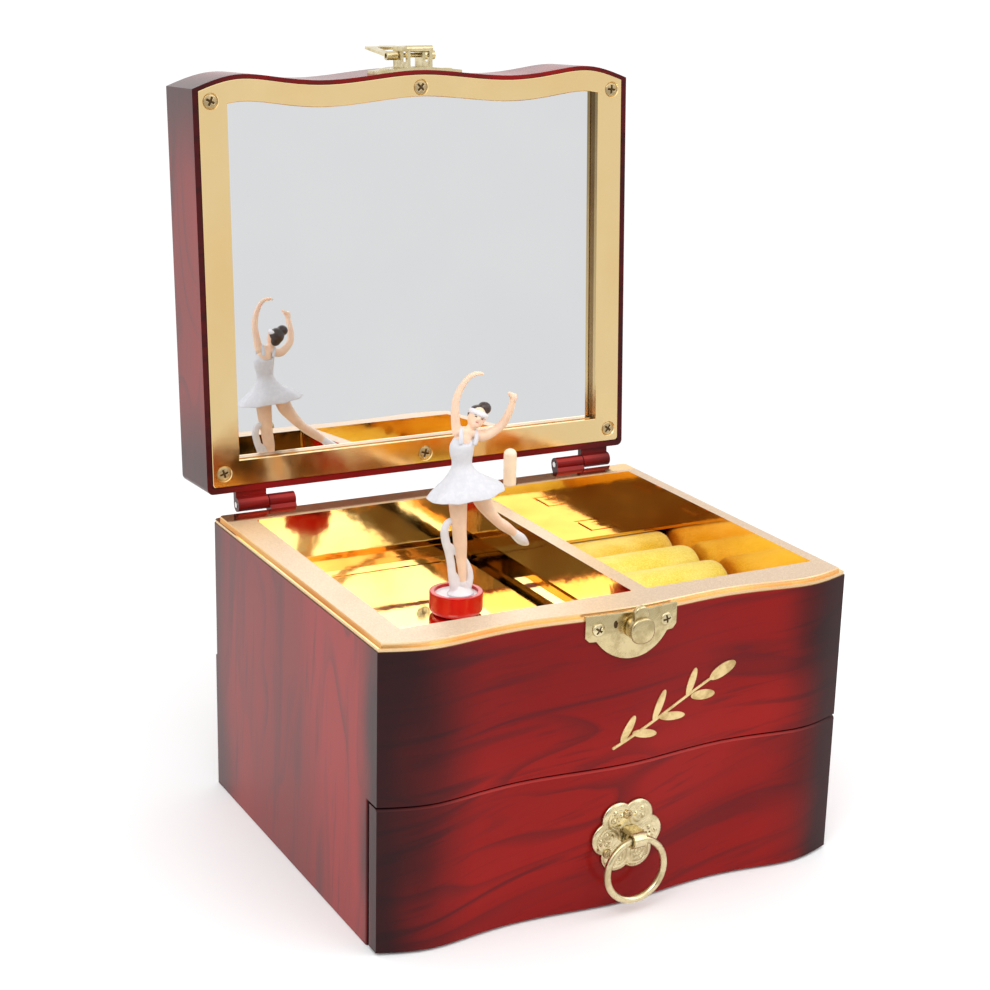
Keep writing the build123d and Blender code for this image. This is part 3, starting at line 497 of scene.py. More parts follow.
def rings_mesh(rings, caps=True):
    """Skin over a list of equal closed rings."""
    sides = len(rings[0])
    verts = [p for ring in rings for p in ring]
    faces = []
    for i in range(len(rings) - 1):
        for k in range(sides):
            n = (k + 1) % sides
            faces.append((i * sides + k, i * sides + n, (i + 1) * sides + n, (i + 1) * sides + k))
    if caps:
        faces.append(tuple(reversed(range(sides))))
        top = (len(rings) - 1) * sides
        faces.append(tuple(range(top, top + sides)))
    return verts, faces


def spline(points, steps=6):
    """Catmull-Rom through points of any number of values."""
    out = []
    last = len(points) - 1
    for i in range(last):
        a, b, c, d = points[max(i - 1, 0)], points[i], points[i + 1], points[min(i + 2, last)]
        for k in range(steps):
            t = k / steps
            out.append([
                0.5 * ((2 * q) + (r - p) * t + (2 * p - 5 * q + 4 * r - s) * t * t
                       + (3 * q - p - 3 * r + s) * t ** 3)
                for p, q, r, s in zip(a, b, c, d)
            ])
    out.append(list(points[last]))
    return out


TUBE_SIDES = 18
END_CAP_DEGREES = (80, 55, 28)


def tube(points, flat=(1.0, 1.0, 1.0)):
    """A limb through (x, y, z, radius) points with round ends."""
    path = spline(points)
    centres = [Vector(p[:3]) for p in path]
    radii = [p[3] for p in path]
    first = (centres[1] - centres[0]).normalized()
    final = (centres[-1] - centres[-2]).normalized()
    rows = []
    for a in END_CAP_DEGREES:
        turn = math.radians(a)
        rows.append((centres[0] - first * radii[0] * math.sin(turn), radii[0] * math.cos(turn), first))
    for i, c in enumerate(centres):
        before, after = centres[max(i - 1, 0)], centres[min(i + 1, len(centres) - 1)]
        rows.append((c, radii[i], (after - before).normalized()))
    for a in reversed(END_CAP_DEGREES):
        turn = math.radians(a)
        rows.append((centres[-1] + final * radii[-1] * math.sin(turn), radii[-1] * math.cos(turn), final))
    side = first.orthogonal().normalized()
    rings = []
    for c, r, t in rows:
        side = (side - t * side.dot(t)).normalized()
        other = t.cross(side)
        ring = []
        for k in range(TUBE_SIDES):
            turn = math.tau * k / TUBE_SIDES
            off = (side * math.cos(turn) + other * math.sin(turn)) * r
            ring.append(c + Vector((off.x * flat[0], off.y * flat[1], off.z * flat[2])))
        rings.append(ring)
    return rings_mesh(rings)


def egg(centre, radii, axis_z=(0, 0, 1), axis_y=(0, 1, 0), rows=18, sides=28):
    """An ellipsoid with its own axes."""
    c = Vector(centre)
    w = Vector(axis_z).normalized()
    v = Vector(axis_y)
    v = (v - w * v.dot(w)).normalized()
    u = v.cross(w)
    rings = []
    for i in range(rows + 1):
        lat = math.pi * (i + 0.02) / (rows + 0.04) - math.pi / 2
        flat = math.cos(lat)
        ring = []
        for k in range(sides):
            lon = math.tau * k / sides
            ring.append(c + u * radii[0] * flat * math.cos(lon) + v * radii[1] * flat * math.sin(lon)
                        + w * radii[2] * math.sin(lat))
        rings.append(ring)
    return rings_mesh(rings)


def merge(*shapes):
    """Several shapes as one list of points and faces."""
    verts, faces = [], []
    for v, f in shapes:
        start = len(verts)
        verts.extend(v)
        faces.extend(tuple(i + start for i in face) for face in f)
    return verts, faces


def fuse(name, shapes, voxel, rounds=3):
    """Join overlapping shapes into one continuous skin."""
    o = add_object(name, *merge(*shapes))
    modify(o, "REMESH", mode="VOXEL", voxel_size=voxel * MM)
    modify(o, "SMOOTH", factor=0.5, iterations=rounds)
    return bake(o)


# ---- dancer
FIGURE_Y = -7.8


def make_dancer():
    """The doll on its ribbon prop, posed as in the photograph."""
    y = FIGURE_Y
    head_up = Vector((0.46, 0.10, 0.88)).normalized()
    face_out = Vector((-0.30, -0.93, -0.05))
    face_out = (face_out - head_up * face_out.dot(head_up)).normalized()
    face_side = face_out.cross(head_up)
    head_at = Vector((-20.7, y - 0.2, 140.9))

    torso = tube([(-25.3, y, 125, 3.0), (-25.4, y, 128, 2.7), (-25.5, y, 131, 3.1), (-25.2, y, 134, 3.2),
                  (-24.8, y, 136.0, 2.3)], flat=(1, 0.78, 1))
    shoulders = tube([(-27.4, y, 137.2, 1.4), (-24.4, y - 0.1, 136.8, 1.55), (-20.6, y, 135.2, 1.6)])
    neck = tube([(-23.9, y, 136.0, 1.45), (-22.3, y - 0.1, 138.8, 1.15)])
    skull = egg(head_at, (2.75, 2.85, 3.55), head_up, face_out)
    jaw = egg(head_at + face_out * 0.7 - head_up * 1.6, (1.9, 1.9, 2.0), head_up, face_out)
    nose = egg(head_at + face_out * 2.95 - head_up * 0.45, (0.34, 0.55, 0.62), head_up, face_out)
    arm_high = tube([(-27.4, y, 137.0, 1.5), (-27.9, y - 0.1, 140.6, 1.42), (-28.3, y - 0.4, 144.6, 1.22),
                     (-27.9, y - 0.8, 148.2, 1.15), (-26.6, y - 1.4, 151.5, 1.0),
                     (-24.7, y - 1.9, 154.1, 0.86),
                     (-22.8, y - 2.2, 155.1, 0.74), (-21.2, y - 2.3, 155.3, 0.66),
                     (-19.8, y - 2.4, 154.9, 0.36)])
    arm_low = tube([(-20.7, y, 135.2, 1.7), (-18.3, y - 0.8, 135.0, 1.65), (-15.7, y - 1.8, 136.3, 1.45),
                    (-13.4, y - 3.0, 138.5, 1.34), (-12.4, y - 4.6, 141.6, 1.22),
                    (-12.1, y - 6.2, 144.6, 1.08),
                    (-12.2, y - 7.2, 146.8, 0.95)])
    palm = tube([(-12.2, y - 7.2, 146.8, 0.98), (-12.1, y - 7.6, 148.0, 1.12), (-13.0, y - 7.8, 149.0, 0.86),
                 (-14.0, y - 8.0, 149.8, 0.42)])
    thumb = tube([(-12.0, y - 7.5, 147.6, 0.7), (-11.3, y - 7.6, 148.5, 0.5), (-11.6, y - 7.7, 149.2, 0.3)])
    skin = [torso, shoulders, neck, skull, jaw, nose, arm_high, arm_low, palm, thumb]
    body = fuse("doll_upper_body", skin, 0.26, 4)
    finish_piece(body, "dancer", "skin_plastic", "doll_skin", "dancer_torso")

    standing = tube([(-26.4, y, 119.5, 3.0), (-26.5, y, 114, 2.9), (-26.2, y, 109.5, 2.6),
                     (-25.9, y, 105.4, 2.3), (-25.4, y + 0.2, 101, 2.2), (-25.1, y + 0.1, 97.2, 1.85),
                     (-24.7, y, 92.4, 1.42),
                     (-24.3, y, 87.6, 1.14), (-24.2, y, 86.0, 1.1)])
    lifted = tube([(-19.6, y, 119.5, 2.9), (-18.4, y + 0.2, 114.6, 2.8), (-15.3, y + 0.9, 110.0, 2.15),
                   (-12.0, y + 1.6, 106.3, 1.7), (-9.8, y + 2.2, 104.5, 1.75), (-7.5, y + 2.9, 102.8, 1.7),
                   (-5.2, y + 3.8, 101.0, 1.45), (-3.2, y + 4.8, 99.4, 1.15)])
    hips = tube([(-25.6, y, 120.5, 3.0), (-20.4, y, 120.5, 3.0)])
    legs = fuse("doll_legs", [standing, lifted, hips], 0.26, 4)
    finish_piece(legs, "dancer", "skin_plastic", "doll_skin", "dancer_legs")

    toe = tube([(-4.4, y + 4.2, 100.4, 1.42), (-2.8, y + 5.0, 99.0, 1.62), (-0.5, y + 6.3, 97.1, 1.78),
                (1.5, y + 7.4, 95.5, 1.32), (2.9, y + 8.1, 94.5, 0.66)])
    heel = tube([(-24.3, y, 87.9, 1.32), (-24.0, y, 85.9, 1.3), (-23.6, y, 84.5, 0.95)])
    shoes = fuse("doll_slippers", [toe, heel], 0.2, 2)
    finish_piece(shoes, "dancer", "white_plastic", "white_plastic", "dancer_slippers")

    hy = y + 0.6
    ribbon = tube([(-27.0, hy, 107.6, 0.8), (-28.4, hy, 108.4, 1.05), (-30.0, hy, 107.5, 1.25),
                   (-30.7, hy, 105.2, 1.35), (-30.2, hy, 102.0, 1.4), (-29.2, hy, 98.6, 1.35),
                   (-28.4, hy, 95.0, 1.35), (-27.9, hy, 91.4, 1.4),
                   (-27.2, hy, 87.8, 1.6), (-26.2, hy, 84.6, 1.9)], flat=(1, 0.8, 1))
    lower = tube([(-28.9, hy, 100.4, 0.95), (-27.4, hy, 99.2, 1.0), (-26.4, hy, 97.6, 0.9)],
                 flat=(1, 0.8, 1))
    other = tube([(-23.7, hy, 95.8, 0.7), (-22.6, hy, 93.4, 1.0), (-21.8, hy, 90.8, 1.2),
                  (-21.7, hy, 88.4, 1.3), (-22.5, hy, 86.0, 1.6), (-23.6, hy, 84.6, 1.8)], flat=(1, 0.8, 1))
    rung_high = tube([(-28.0, hy, 92.0, 0.8), (-26.2, hy, 89.6, 0.9), (-25.2, hy, 87.6, 1.0)])
    rung_low = tube([(-26.6, hy, 87.6, 1.2), (-24.4, hy, 87.0, 1.1), (-22.6, hy, 87.2, 1.0)])
    plinth = [(4.5, 84.05), (4.3, 84.5), (3.7, 85.0), (2.9, 85.6), (2.2, 86.6)]
    mound_turns = [math.tau * k / 36 for k in range(36)]
    mound = rings_mesh([
        [(-24.8 + r * math.cos(t), hy + 0.85 * r * math.sin(t), z) for t in mound_turns]
        for r, z in plinth
    ])
    prop = fuse("doll_prop", [ribbon, lower, other, rung_high, rung_low, mound], 0.22, 3)
    finish_piece(prop, "dancer", "white_plastic", "white_plastic", "dancer_prop")

    cap = egg(head_at + head_up * 0.9 - face_out * 0.75, (2.95, 2.75, 3.1), head_up, face_out)
    nape = egg(head_at - head_up * 0.7 - face_out * 1.5, (2.2, 1.6, 2.3), head_up, face_out)
    bun = egg((-17.7, y + 0.5, 143.4), (2.15, 2.0, 1.95), head_up, face_out)
    hair = fuse("doll_hair", [cap, nape, bun], 0.2, 2)
    finish_piece(hair, "dancer", "hair_plastic", "doll_hair", "dancer_hair")

    profile = [(2.5, -0.75), (3.0, -0.85), (3.24, -0.35), (3.24, 0.35), (2.96, 0.85), (2.4, 0.8)]
    loops = []
    for out, up in profile:
        loops.append([
            head_at + head_up * (1.25 + up) + (face_side * math.cos(t) + face_out * math.sin(t)) * out
            for t in (math.tau * k / 56 for k in range(56))
        ])
    verts, faces = rings_mesh(loops, caps=False)
    last = (len(loops) - 1) * 56
    for k in range(56):
        n = (k + 1) % 56
        faces.append((last + k, last + n, n, k))
    band = add_object("doll_headband", verts, faces)
    finish_piece(band, "dancer", "white_plastic", "white_plastic")

    def dab(outwards, across, rise, radii):
        """A small painted mark on the face."""
        at = head_at + face_out * outwards + face_side * across + head_up * rise
        return egg(at, radii, head_up, face_out, 8, 14)

    marks = []
    for s in (-1, 1):
        marks.append(dab(2.66, 1.05 * s, -0.02, (0.46, 0.22, 0.17)))
        marks.append(dab(2.62, 1.1 * s, 0.55, (0.56, 0.2, 0.09)))
    paint = add_object("doll_eyes", *merge(*marks))
    finish_piece(paint, "dancer", "hair_plastic", "doll_hair")
    mouth = add_object("doll_lips", *dab(2.52, 0.0, -1.55, (0.55, 0.2, 0.17)))
    finish_piece(mouth, "dancer", "red_plastic", "doll_lip_paint")

    # bodice and skirt, one sheet that turns under at an uneven hem
    # each row is height, half width, half depth and the middle's x
    rows = [(135.2, 3.3, 2.7, -24.9), (133.8, 3.75, 3.05, -25.2), (132.2, 3.95, 3.25, -25.5),
            (130.2, 3.75, 3.15, -25.6), (128.4, 3.35, 2.9, -25.5), (126.9, 3.25, 2.8, -25.4),
            (125.5, 3.6, 3.2, -25.2), (124.1, 4.5, 4.1, -24.9), (122.7, 5.8, 5.2, -24.5),
            (121.2, 7.6, 6.5, -24.1), (119.8, 9.6, 7.7, -23.9), (118.5, 11.4, 8.6, -23.8),
            (117.5, 12.4, 9.1, -23.8), (117.1, 12.7, 9.2, -23.8), (117.0, 12.5, 9.05, -23.8),
            (117.5, 11.6, 8.3, -23.8), (119.2, 8.8, 6.8, -23.6), (120.6, 6.4, 5.2, -24.0)]
    sides = 96
    rings = []
    for i, (z, rx, ry, cx) in enumerate(spline(rows, 3)):
        outwards = min(1.0, max(0.0, (rx - 4.0) / 9.0)) if z < 125 else 0.0
        ring = []
        for k in range(sides):
            t = math.tau * k / sides
            fold = 1 + outwards * 0.022 * math.sin(9 * t + 0.8) + outwards * 0.016 * math.sin(5 * t + 2.1)
            rise = outwards * (1.1 * math.cos(t) + 0.12 * math.sin(7 * t + 1.0) + 0.05 * math.sin(13 * t))
            dip = 0.0
            if z > 133:
                front = max(0.0, -math.sin(t)) ** 3
                back = max(0.0, math.sin(t)) ** 2
                dip = -(z - 133) * (0.9 * front + 1.3 * back)
            ring.append((cx + rx * fold * math.cos(t), y + ry * fold * math.sin(t), z + rise + dip))
        rings.append(ring)
    o = add_object("doll_dress", *rings_mesh(rings))
    finish_piece(o, "dancer", "dress_plastic", "doll_dress", "dancer_dress")
    straps = [
        tube([(-27.2, y - 2.6, 134.0, 0.55), (-26.9, y - 2.0, 136.4, 0.5), (-26.3, y - 0.6, 138.3, 0.5),
              (-26.2, y + 1.1, 137.6, 0.5), (-26.4, y + 2.2, 135.0, 0.5)], flat=(1.5, 1, 1)),
        tube([(-22.4, y - 2.7, 133.4, 0.55), (-21.6, y - 2.1, 135.4, 0.5), (-21.2, y - 0.5, 136.9, 0.5),
              (-21.6, y + 1.2, 136.2, 0.5), (-22.6, y + 2.3, 134.2, 0.5)], flat=(1.5, 1, 1)),
    ]
    strap = fuse("doll_straps", straps, 0.22, 1)
    finish_piece(strap, "dancer", "dress_plastic", "doll_dress")


# ---- velvet cushions
ROLL_CENTRE_DROP = 8.3
ROLL_VOXEL = 1.5
CLOTH_FRAMES = 14
CLOTH_CAP = 0.5


def make_rolls():
    """Each ring roll is a foam bar in a velvet sleeve, lofted as a rounded bar, remeshed and smoothed.

    The short cloth run moves no point by more than about 0.05 mm, so it is not what shapes the rolls.
    """
    pieces = []
    for i in range(5):
        node = "ring_roll_" + str(i + 1)
        lo, hi = [Vector(c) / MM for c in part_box(node)]
        mid = (lo.y + hi.y) / 2
        half = (hi.y - lo.y) / 2 - 0.25
        rings = []
        stations = [0.0, 0.4, 1.2, 3.0] + [4.0 + 3.0 * k for k in range(15)]
        stations += [48.2, 50.2, 51.6, 52.6, 53.4, 54.0, 54.3, 54.5]
        centre_z = hi.z - ROLL_CENTRE_DROP
        for s in stations:
            left = lo.x + 0.1
            x = left + s * (hi.x - left - 0.1) / 54.5
            near = max(0.0, (s - 51.6) / 2.9)
            start = max(0.0, 1 - s / 1.2)
            shrink = math.sqrt(max(0.0, 1 - near ** 2.4)) * 0.92 + 0.08 - 0.05 * start
            ring = []
            for k in range(40):
                t = math.tau * k / 40
                py = math.copysign(abs(math.cos(t)) ** 0.92, math.cos(t)) * half * (0.55 + 0.45 * shrink)
                pz = math.sin(t)
                if pz > 0:
                    z = centre_z + 8.2 * pz * shrink
                else:
                    z = centre_z + (centre_z - lo.z) * pz * 0.99
                ring.append((x, mid + py, max(lo.z + 0.05, z)))
            rings.append(ring)
        o = add_object("velvet_" + node, *rings_mesh(rings))
        pieces.append((o, lo, hi))
    for o, lo, hi in pieces:
        modify(o, "REMESH", mode="VOXEL", voxel_size=ROLL_VOXEL * MM)
        bake(o)
        cloth = modify(o, "CLOTH").settings
        cloth.quality = 5
        cloth.tension_stiffness = 18.0
        cloth.compression_stiffness = 18.0
        cloth.bending_stiffness = 0.6
        cloth.mass = 0.12
        cloth.use_pressure = True
        cloth.uniform_pressure_force = 2.0
        cloth.effector_weights.gravity = 0.0
    scene = bpy.context.scene
    scene.frame_start, scene.frame_end = 1, CLOTH_FRAMES
    for f in range(1, CLOTH_FRAMES + 1):
        scene.frame_set(f)
    graph = bpy.context.evaluated_depsgraph_get()
    for o, lo, hi in pieces:
        before = [v.co.copy() for v in o.data.vertices]
        after = [v.co.copy() for v in o.evaluated_get(graph).data.vertices]
        o.modifiers.clear()
        for v, a, b in zip(o.data.vertices, before, after):
            move = b - a
            cap = CLOTH_CAP * MM
            if move.length > cap:
                move = move.normalized() * cap
            p = (a + move) / MM
            v.co = Vector([min(max(c, low), high) for c, low, high in zip(p, lo, hi)]) * MM
    scene.frame_set(1)
    for i, (o, lo, hi) in enumerate(pieces):
        modify(o, "SMOOTH", factor=0.5, iterations=2)
        modify(o, "SUBSURF", levels=1, render_levels=1)
        bake(o)
        # painted shade: the rear roll takes the darker copy of the velvet
        material = "deep_velvet" if i == 0 else "yellow_velvet"
        finish_piece(o, "case", "velvet", material, "ring_roll_" + str(i + 1))


def make_lining():
    """A thin velvet pad on the drawer's floor: shallow dents, rounded edges, sides pulled in."""
    lo, hi = [Vector(c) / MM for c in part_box("drawer_lining")]
    nx, ny = 60, 46
    rng = random.Random(11)
    dents = [
        (rng.uniform(lo.x, hi.x), rng.uniform(lo.y, hi.y), rng.uniform(6, 14), rng.uniform(-0.10, 0.12))
        for _ in range(30)
    ]
    top, under = [], []
    for j in range(ny + 1):
        for i in range(nx + 1):
            u, v = 2 * i / nx - 1, 2 * j / ny - 1
            x = (lo.x + hi.x) / 2 + (hi.x - lo.x) / 2 * u * (0.998 - 0.006 * (1 - v * v))
            y = (lo.y + hi.y) / 2 + (hi.y - lo.y) / 2 * v * (0.998 - 0.008 * (1 - u * u))
            edge = min(1.0, min(1 - abs(u), 1 - abs(v)) / 0.05)
            crown = (1 - edge) ** 2
            z = hi.z + 0.25 - 0.55 * crown
            z += sum(h * math.exp(-((x - a) ** 2 + (y - b) ** 2) / (s * s)) for a, b, s, h in dents) * edge
            top.append((x, y, z))
            under.append((x, y, lo.z))
    verts = top + under
    start = len(top)
    faces = []
    row = nx + 1
    for j in range(ny):
        for i in range(nx):
            a = j * row + i
            faces.append((a, a + 1, a + row + 1, a + row))
            faces.append((start + a, start + a + row, start + a + row + 1, start + a + 1))
    border = list(range(nx)) + [j * row + nx for j in range(ny)]
    border += [ny * row + nx - i for i in range(nx)] + [(ny - j) * row for j in range(ny)]
    for a, b in zip(border, border[1:] + border[:1]):
        faces.append((a, start + a, start + b, b))
    o = add_object("drawer_velvet_pad", verts, faces)
    finish_piece(o, "drawer", "velvet", "yellow_velvet", "drawer_lining")


# ---- hardware
HINGE_Y, HINGE_Z, LID_OPEN = 69.4, 97.0, math.radians(-93.1)


def on_lid(x, y, z):
    """A point of the shut lid, carried up to the open rest."""
    dy, dz = y - HINGE_Y, z - HINGE_Z
    c, s = math.cos(LID_OPEN), math.sin(LID_OPEN)
    return Vector((x, HINGE_Y + dy * c - dz * s, HINGE_Z + dy * s + dz * c))


def cross_head(centre, out, radius, dome, turn):
    """A low domed screw head with a cross recess, as a fine closed disc."""
    out = Vector(out).normalized()
    side = out.orthogonal().normalized()
    other = out.cross(side)
    c0, s0 = math.cos(math.radians(turn)), math.sin(math.radians(turn))
    rings = []
    steps = 26
    for i in range(steps, -1, -1):
        r = radius * max(i, 0.02) / steps
        ring = []
        for k in range(72):
            t = math.tau * k / 72
            u, v = r * math.cos(t), r * math.sin(t)
            rim = max(0.0, (r / radius - 0.86) / 0.14) ** 2
            height = dome * (1 - 0.55 * (r / radius) ** 2) - dome * 0.5 * rim
            bar = max(abs(u) - radius * 0.60, abs(v) - radius * 0.12)
            post = max(abs(v) - radius * 0.60, abs(u) - radius * 0.12)
            arm = min(bar, post)
            pit = min(1.0, max(0.0, 0.5 - arm / (radius * 0.09)))
            height -= pit * radius * 0.32
            p = side * (u * c0 - v * s0) + other * (u * s0 + v * c0)
            ring.append(Vector(centre) + p + out * height)
        rings.append(ring)
    skirt = [Vector(p) - out * (dome + 0.25) for p in rings[0]]
    return rings_mesh([skirt] + rings)


def cross_floor(centre, out, radius, dome, turn):
    """Painted shade for a cross recess: a thin dark plus lying just above the pressed metal, standing for
    its shadowed floor.
    """
    out = Vector(out).normalized()
    side = out.orthogonal().normalized()
    other = out.cross(side)
    c0, s0 = math.cos(math.radians(turn)), math.sin(math.radians(turn))
    a, b = radius * 0.56, radius * 0.13
    plan = [(b, b), (b, a), (-b, a), (-b, b), (-a, b), (-a, -b),
            (-b, -b), (-b, -a), (b, -a), (b, -b), (a, -b), (a, b)]
    loops = []
    for lift, scale in ((-0.5, 1.0), (dome * 0.62, 1.0), (dome * 0.72, 0.9)):
        loops.append([
            Vector(centre) + side * (u * c0 - v * s0) * scale + other * (u * s0 + v * c0) * scale
            + out * (lift - radius * 0.10) for u, v in plan
        ])
    return rings_mesh(loops)


# x, distance from the lid frame's rear edge, and how far each screw is turned
LID_SCREWS = [(-74.0, 128.0, 20), (0.0, 130.6, 3), (74.0, 128.0, 38),
              (-74.0, 6.7, 62), (0.0, 5.7, 28), (74.0, 6.7, 8)]
LID_REAR, LID_SCREW_FACE, LID_SCREW_RADIUS = 64.94, 96.74, 2.4
LATCH_SCREWS = [((-11.6, -69.35, 91.2), 12), ((11.6, -69.35, 91.2), 55)]
LATCH_SCREW_RADIUS = 2.1
ROSETTE_SCREWS = [(0.6, 30.6, 30), (-6.1, 18.9, 5)]
FORWARDS = (0, -1, 0)


def make_screws():
    """The heads of the lid's, the latch's and the rosette's screws."""
    out = on_lid(0, 0, -1) - on_lid(0, 0, 0)
    at = [(on_lid(x, LID_REAR - u, LID_SCREW_FACE), turn) for x, u, turn in LID_SCREWS]
    heads = [cross_head(p, out, LID_SCREW_RADIUS, 0.42, turn) for p, turn in at]
    # painted shade: dark plus shapes in the lid screws' cross recesses
    floors = [cross_floor(p, out, LID_SCREW_RADIUS, 0.50, turn) for p, turn in at]
    o = add_object("lid_screw_recesses", *merge(*floors), smooth=False)
    finish_piece(o, "lid", "screw_steel", "screw_recess")
    o = add_object("lid_screw_heads", *merge(*heads))
    finish_piece(o, "lid", "screw_steel", "lid_screw_plating", "lid_frame_screws")
    # painted shade: dark plus shapes in the latch screws' cross recesses
    floors = [cross_floor(p, FORWARDS, LATCH_SCREW_RADIUS, 0.9, turn) for p, turn in LATCH_SCREWS]
    o = add_object("latch_screw_recesses", *merge(*floors), smooth=False)
    finish_piece(o, "case", "champagne", "screw_recess")
    heads = [cross_head(p, FORWARDS, LATCH_SCREW_RADIUS, 0.75, turn) for p, turn in LATCH_SCREWS]
    o = add_object("latch_screw_heads", *merge(*heads))
    finish_piece(o, "case", "champagne", "champagne_brass", "latch_screws")
    heads = [cross_head((x, -70.6, z), FORWARDS, 1.5, 0.7, turn) for x, z, turn in ROSETTE_SCREWS]
    o = add_object("rosette_screw_heads", *merge(*heads))
    finish_piece(o, "drawer", "champagne", "lid_screw_plating", "rosette_screws")


CATCH_Y, CATCH_Z = -70.5, 91.0
FRONT_FACE_Y = -69.2
PLATE_TOP = 95.5
PLATE_HALF_WIDTH = 15.6
TONGUE_CENTRE_Z = 94.4


def squarish(t, power=0.86):
    """A point of a circle pulled slightly towards a square."""
    c, q = math.cos(t), math.sin(t)
    return math.copysign(abs(c) ** power, c), math.copysign(abs(q) ** power, q)


def plate_foot(x):
    """Height of the latch plate's lower edge: an arc in the middle, straight ears with cut corners."""
    x = abs(x)
    if x < 12.1:
        return PLATE_TOP - math.sqrt(14.5 ** 2 - x * x)
    return 87.5 + max(0.0, x - 14.3)


def make_latch():
    """The curved back plate, the turning catch (a thick button with a tongue behind it), and a painted slot
    shadow.
    """
    turns = [math.tau * k / 64 for k in range(64)]
    barrel = [(2.9, 0.0), (3.4, -0.25), (3.5, -0.6), (3.5, -3.0), (3.3, -3.3), (3.4, -3.6), (3.9, -3.9),
              (4.0, -4.4), (3.85, -4.8), (3.4, -5.0), (2.2, -5.12), (1.0, -5.16), (0.03, -5.18)]
    outline = [squarish(t) for t in turns]
    button = rings_mesh([
        [(rad * u, CATCH_Y + dy, CATCH_Z + rad * v) for u, v in outline] for rad, dy in barrel
    ])
    plan = [(-2.3, 90.2), (-2.35, 92.0), (-2.4, 94.0), (-2.4, 95.0)]
    plan += [(-2.4 * math.cos(a), 95.9 + 2.5 * math.sin(a)) for a in (math.pi * k / 24 for k in range(25))]
    plan += [(-x, z) for x, z in reversed(plan[:4])]
    sections = [(-2.02, 0.86), (-2.14, 0.95), (-2.4, 1.0), (-3.5, 1.0),
                (-3.75, 0.95), (-3.9, 0.84), (-3.95, 0.6)]
    loops = []
    for dy, inset in sections:
        loops.append([
            (x * inset, CATCH_Y + dy, TONGUE_CENTRE_Z + (z - TONGUE_CENTRE_Z) * inset) for x, z in plan
        ])
    tongue = rings_mesh(loops)

    loops = []
    for k in range(79):
        x = PLATE_HALF_WIDTH * (k - 39) / 39
        wood = FRONT_FACE_Y + 0.85 * (x / 11.6) ** 2
        front, foot = wood - 1.0, plate_foot(x)
        loops.append([
            (x, wood - 0.02, PLATE_TOP), (x, wood - 0.02, foot),
            (x, front + 0.2, foot), (x, front + 0.05, foot + 0.06), (x, front, foot + 0.22),
            (x, front, 95.28), (x, front + 0.05, 95.44), (x, front + 0.2, PLATE_TOP),
        ])
    o = add_object("latch_back_plate", *rings_mesh(loops))
    finish_piece(o, "case", "champagne", "latch_brass", "latch_plate")
    modify(o, "EDGE_SPLIT", split_angle=math.radians(50))
    o = add_object("latch_button", *merge(button, tongue))
    finish_piece(o, "catch", "champagne", "latch_brass", "latch_catch")
    # painted shadow: a thin dark oval standing for the catch's slot
    hole = rings_mesh([
        [(-6.2 + 0.65 * f * math.cos(t), -69.9 - h, 92.3 + 1.2 * f * math.sin(t)) for t in turns]
        for f, h in ((1.0, 0.0), (1.0, 0.09), (0.9, 0.12), (0.1, 0.1))
    ])
    o = add_object("latch_slot_shadow", *hole)
    finish_piece(o, "case", "champagne", "screw_recess")


ROSETTE_X, ROSETTE_Z, ROSETTE_BACK = 1.0, 23.4, -69.25
PETAL_REACH, PETAL_RADIUS = 6.7, 5.4


def make_rosette():
    """A stamped six-petal rosette with a bead trefoil on each petal."""
    cx, cz, back = ROSETTE_X, ROSETTE_Z, ROSETTE_BACK
    sixths = [math.tau * k / 6 for k in range(6)]
    petals = [(PETAL_REACH * math.cos(a), PETAL_REACH * math.sin(a)) for a in sixths]
    beads = []
    for a in sixths:
        for radial, side in ((9.6, 0.0), (7.4, 1.5), (7.4, -1.5)):
            c, s = math.cos(a), math.sin(a)
            beads.append((radial * c - side * s, radial * s + side * c))
    sides, steps = 216, 44
    reach = []
    for k in range(sides):
        t = math.tau * k / sides
        far = 0.0
        for px, pz in petals:
            along = px * math.cos(t) + pz * math.sin(t)
            off = PETAL_RADIUS ** 2 - (px * px + pz * pz - along * along)
            if off > 0:
                far = max(far, along + math.sqrt(off))
        reach.append(far)
    around = [math.tau * k / sides for k in range(sides)]
    rings = [[(cx + r * math.cos(t), back, cz + r * math.sin(t)) for r, t in zip(reach, around)]]
    for i in range(steps, -1, -1):
        ring = []
        for k in range(sides):
            t = math.tau * k / sides
            r = reach[k] * max(i, 0.02) / steps
            u, v = r * math.cos(t), r * math.sin(t)
            near = min(math.hypot(u - px, v - pz) for px, pz in petals)
            h = 0.62 + 0.62 * math.sqrt(max(0.0, 1 - (near / 5.9) ** 2))
            h += 0.07 * math.cos(near * 4.6)
            for bu, bv in beads:
                d = math.hypot(u - bu, v - bv)
                if d < 2.2:
                    h += 0.42 * math.exp(-(d / 0.48) ** 2) - 0.16 * math.exp(-((d - 0.95) / 0.24) ** 2)
            middle = math.hypot(u, v)
            h += 0.25 / (1 + math.exp((middle - 4.3) * 5))
            h *= 1 - 0.45 * max(0.0, (r / reach[k] - 0.93) / 0.07) ** 2
            ring.append((cx + u, back - h, cz + v))
        rings.append(ring)
    o = add_object("rosette_relief", *rings_mesh(rings))
    finish_piece(o, "drawer", "champagne", "champagne_brass", "pull_rosette")


PIN_COUNT = 260
CYLINDER_X, CYLINDER_Z, CYLINDER_RADIUS = 26.0, 51.5, 7.2


